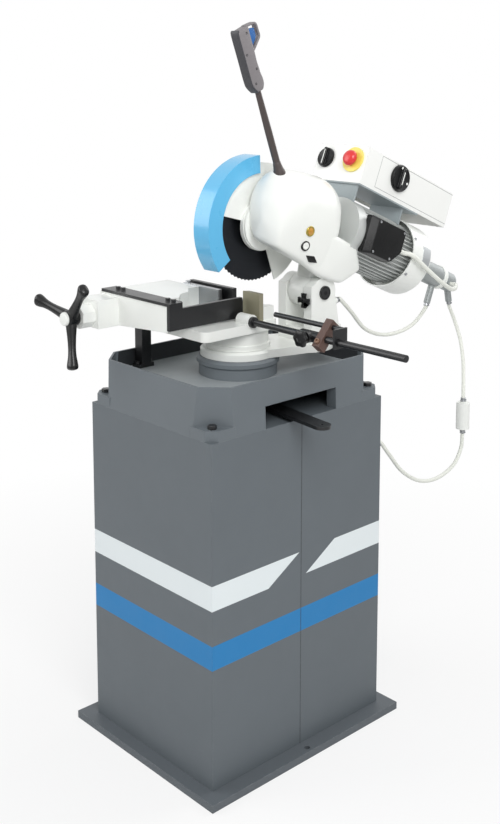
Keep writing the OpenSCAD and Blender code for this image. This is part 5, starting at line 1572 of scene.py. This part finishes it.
@dataclass
class ColumnFittings:
    """The hinge pin's cap and the cross knob on the column."""

    cap: tuple[float, float, float] = (118.0, 176.0, 1074.4)
    knob: tuple[float, float, float] = (99.8, 132.0, 1059.4)
    reach: float = 18.0
    waist: float = 4.2
    flare: float = 7.6
    cap_profile: tuple = ((17, 0), (17, 4), (16, 5.2), (12.6, 5.2), (12, 4.2), (5, 4.2), (4.4, 5), (2.4, 5),
                          (2.2, 3.4), (0.2, 3.4))
    stem: tuple = ((5, -20), (5, 2), (7.5, 3), (7.5, 5))
    hub: tuple = ((6.5, 11), (6.5, 13), (5.5, 14), (0.2, 14))
    cross_corner: float = 2.0
    cross_depths: tuple[float, float, float] = (4, 12, 1.6)

    def build(self) -> None:
        """Makes the cap with its sunk ring, and the knob whose four arms widen outwards."""
        cap = lathe(self.cap_profile, 48).placed(ROOM.at(*self.cap).facing(Way.RIGHT))
        make_piece("hinge_cap", cap, BLACK_PLASTIC, "turntable")
        quarter = np.array([(self.waist, -self.waist), (self.reach, -self.flare), (self.reach, self.flare)])
        turn = np.arange(4) * np.pi / 2
        spin = np.stack([np.cos(turn), -np.sin(turn), np.sin(turn), np.cos(turn)], -1).reshape(4, 2, 2)
        outline = np.einsum("kij,nj->kni", spin, quarter).reshape(-1, 2)
        front = ROOM.at(*self.knob).facing(Way.FRONT)
        arms = slab(rounded(outline, self.cross_corner), *self.cross_depths)
        cross = arms + lathe(self.stem, 32) + lathe(self.hub, 32)
        make_piece("column_cross", cross.placed(front), BLACK_PLASTIC, "column_clamp",
                   ["column_knob"])


@dataclass
class ViseWheel:
    """The three-armed handwheel with its pale cap."""

    centre: tuple[float, float, float] = (-203.0, -356.0, 1037.4)
    angles: tuple[float, float, float] = (45.0, 165.0, 285.0)
    root: float = 15.0
    dish: float = 9.13
    stations: tuple = ((8, 14, 12), (24, 13, 11), (48, 11, 9), (72, 10, 8), (90, 11, 8.8), (104, 14, 10.5),
                       (114, 15, 11.4), (119.5, 12, 9.4), (121.9, 4, 3))
    hub: tuple = ((10.1, -30), (17, -30), (19, -28.5), (20, -26), (20, -5), (18.6, -1.5), (16.4, 0.4),
                  (10.1, 0.4))
    cap: tuple = ((15.8, 0.2), (16, 1), (16, 5), (14.8, 7.2), (12, 8), (0.2, 8.4))

    def spoke(self, degrees: float) -> Surface:
        """Places one arm, leaning forwards by the wheel's dish.

        Args:
            degrees: the arm's angle round the wheel.

        Returns:
            The closed arm in its place.
        """
        a, d = math.radians(degrees), math.radians(self.dish)
        along = np.array([math.cos(a) * math.cos(d), -math.sin(d), math.sin(a) * math.cos(d)])
        side = np.array([-math.sin(a), 0, math.cos(a)])
        x, y, z = self.centre
        root = np.array([x, y + self.root, z]) * MM
        return arm(self.stations).placed(Axes(root, side, np.cross(along, side), along))

    def build(self) -> None:
        """Makes the hub with its arms, and the cap."""
        front = ROOM.at(*self.centre).facing(Way.FRONT)
        casting = joined([lathe(self.hub, 56).placed(front), *(self.spoke(a) for a in self.angles)])
        make_piece("wheel_casting", casting, BLACK_PLASTIC, "wheel", ["handwheel"],
                   smooth=50)
        make_piece("wheel_cap", lathe(self.cap, 48).placed(front), PALE_PLASTIC, "wheel")


@dataclass
class BarStop:
    """The star knob and the screw of the bar stop's clamp."""

    knob: tuple[float, float, float] = (272.0, -27.0, 1026.4)
    knob_r: float = 19.0
    knob_foot: float = 28.0
    bar: tuple[float, float, float] = (310.0, -27.0, 1026.4)
    bar_lean: float = -41.186
    bar_half: float = 13.0
    screw: tuple[float, float] = (6, 5)
    screw_drop: float = 14.0
    stem: tuple = ((4.95, 8.6), (4.95, 20), (8, 21))
    stem_r: float = 8.0
    star: tuple[float, int, float] = (10, 6, 1.4)

    def build(self) -> None:
        """Makes the knob on its stem and the screw in the bar's front face."""
        front = ROOM.at(*self.knob).facing(Way.FRONT)
        stem = lathe([*self.stem, (self.stem_r, self.knob_foot + 1)], 32)
        knob = stem + lobed(self.knob_r, self.knob_foot, *self.star)
        make_piece("stop_star", knob.placed(front), BLACK_PLASTIC, "clamp_knob",
                   ["stop_knob"])
        leaning = ROOM.at(*self.bar).leaning(self.bar_lean)
        face = leaning.at(0, -self.bar_half, -self.screw_drop).facing(Way.FRONT)
        make_piece("clamp_screw", screw_head(*self.screw).placed(face), SCREW_BROWN, "clamp")


def main() -> None:
    """Builds the studio, the soft lines, every dressed node and the new pieces, in that order."""
    logging.basicConfig(level=logging.INFO, format="%(message)s")
    Studio().build()
    SoftLines().build()
    for name, finish in NODE_FINISH.items():
        dress(frame["nodes"][name], finish)
    for part in (GearCase(), Handle(), Controls(), MotorEnd(), ColumnFittings(), ViseWheel(), BarStop()):
        LOG.info("building %s", type(part).__name__)
        part.build()


if __name__ == "__main__":
    main()
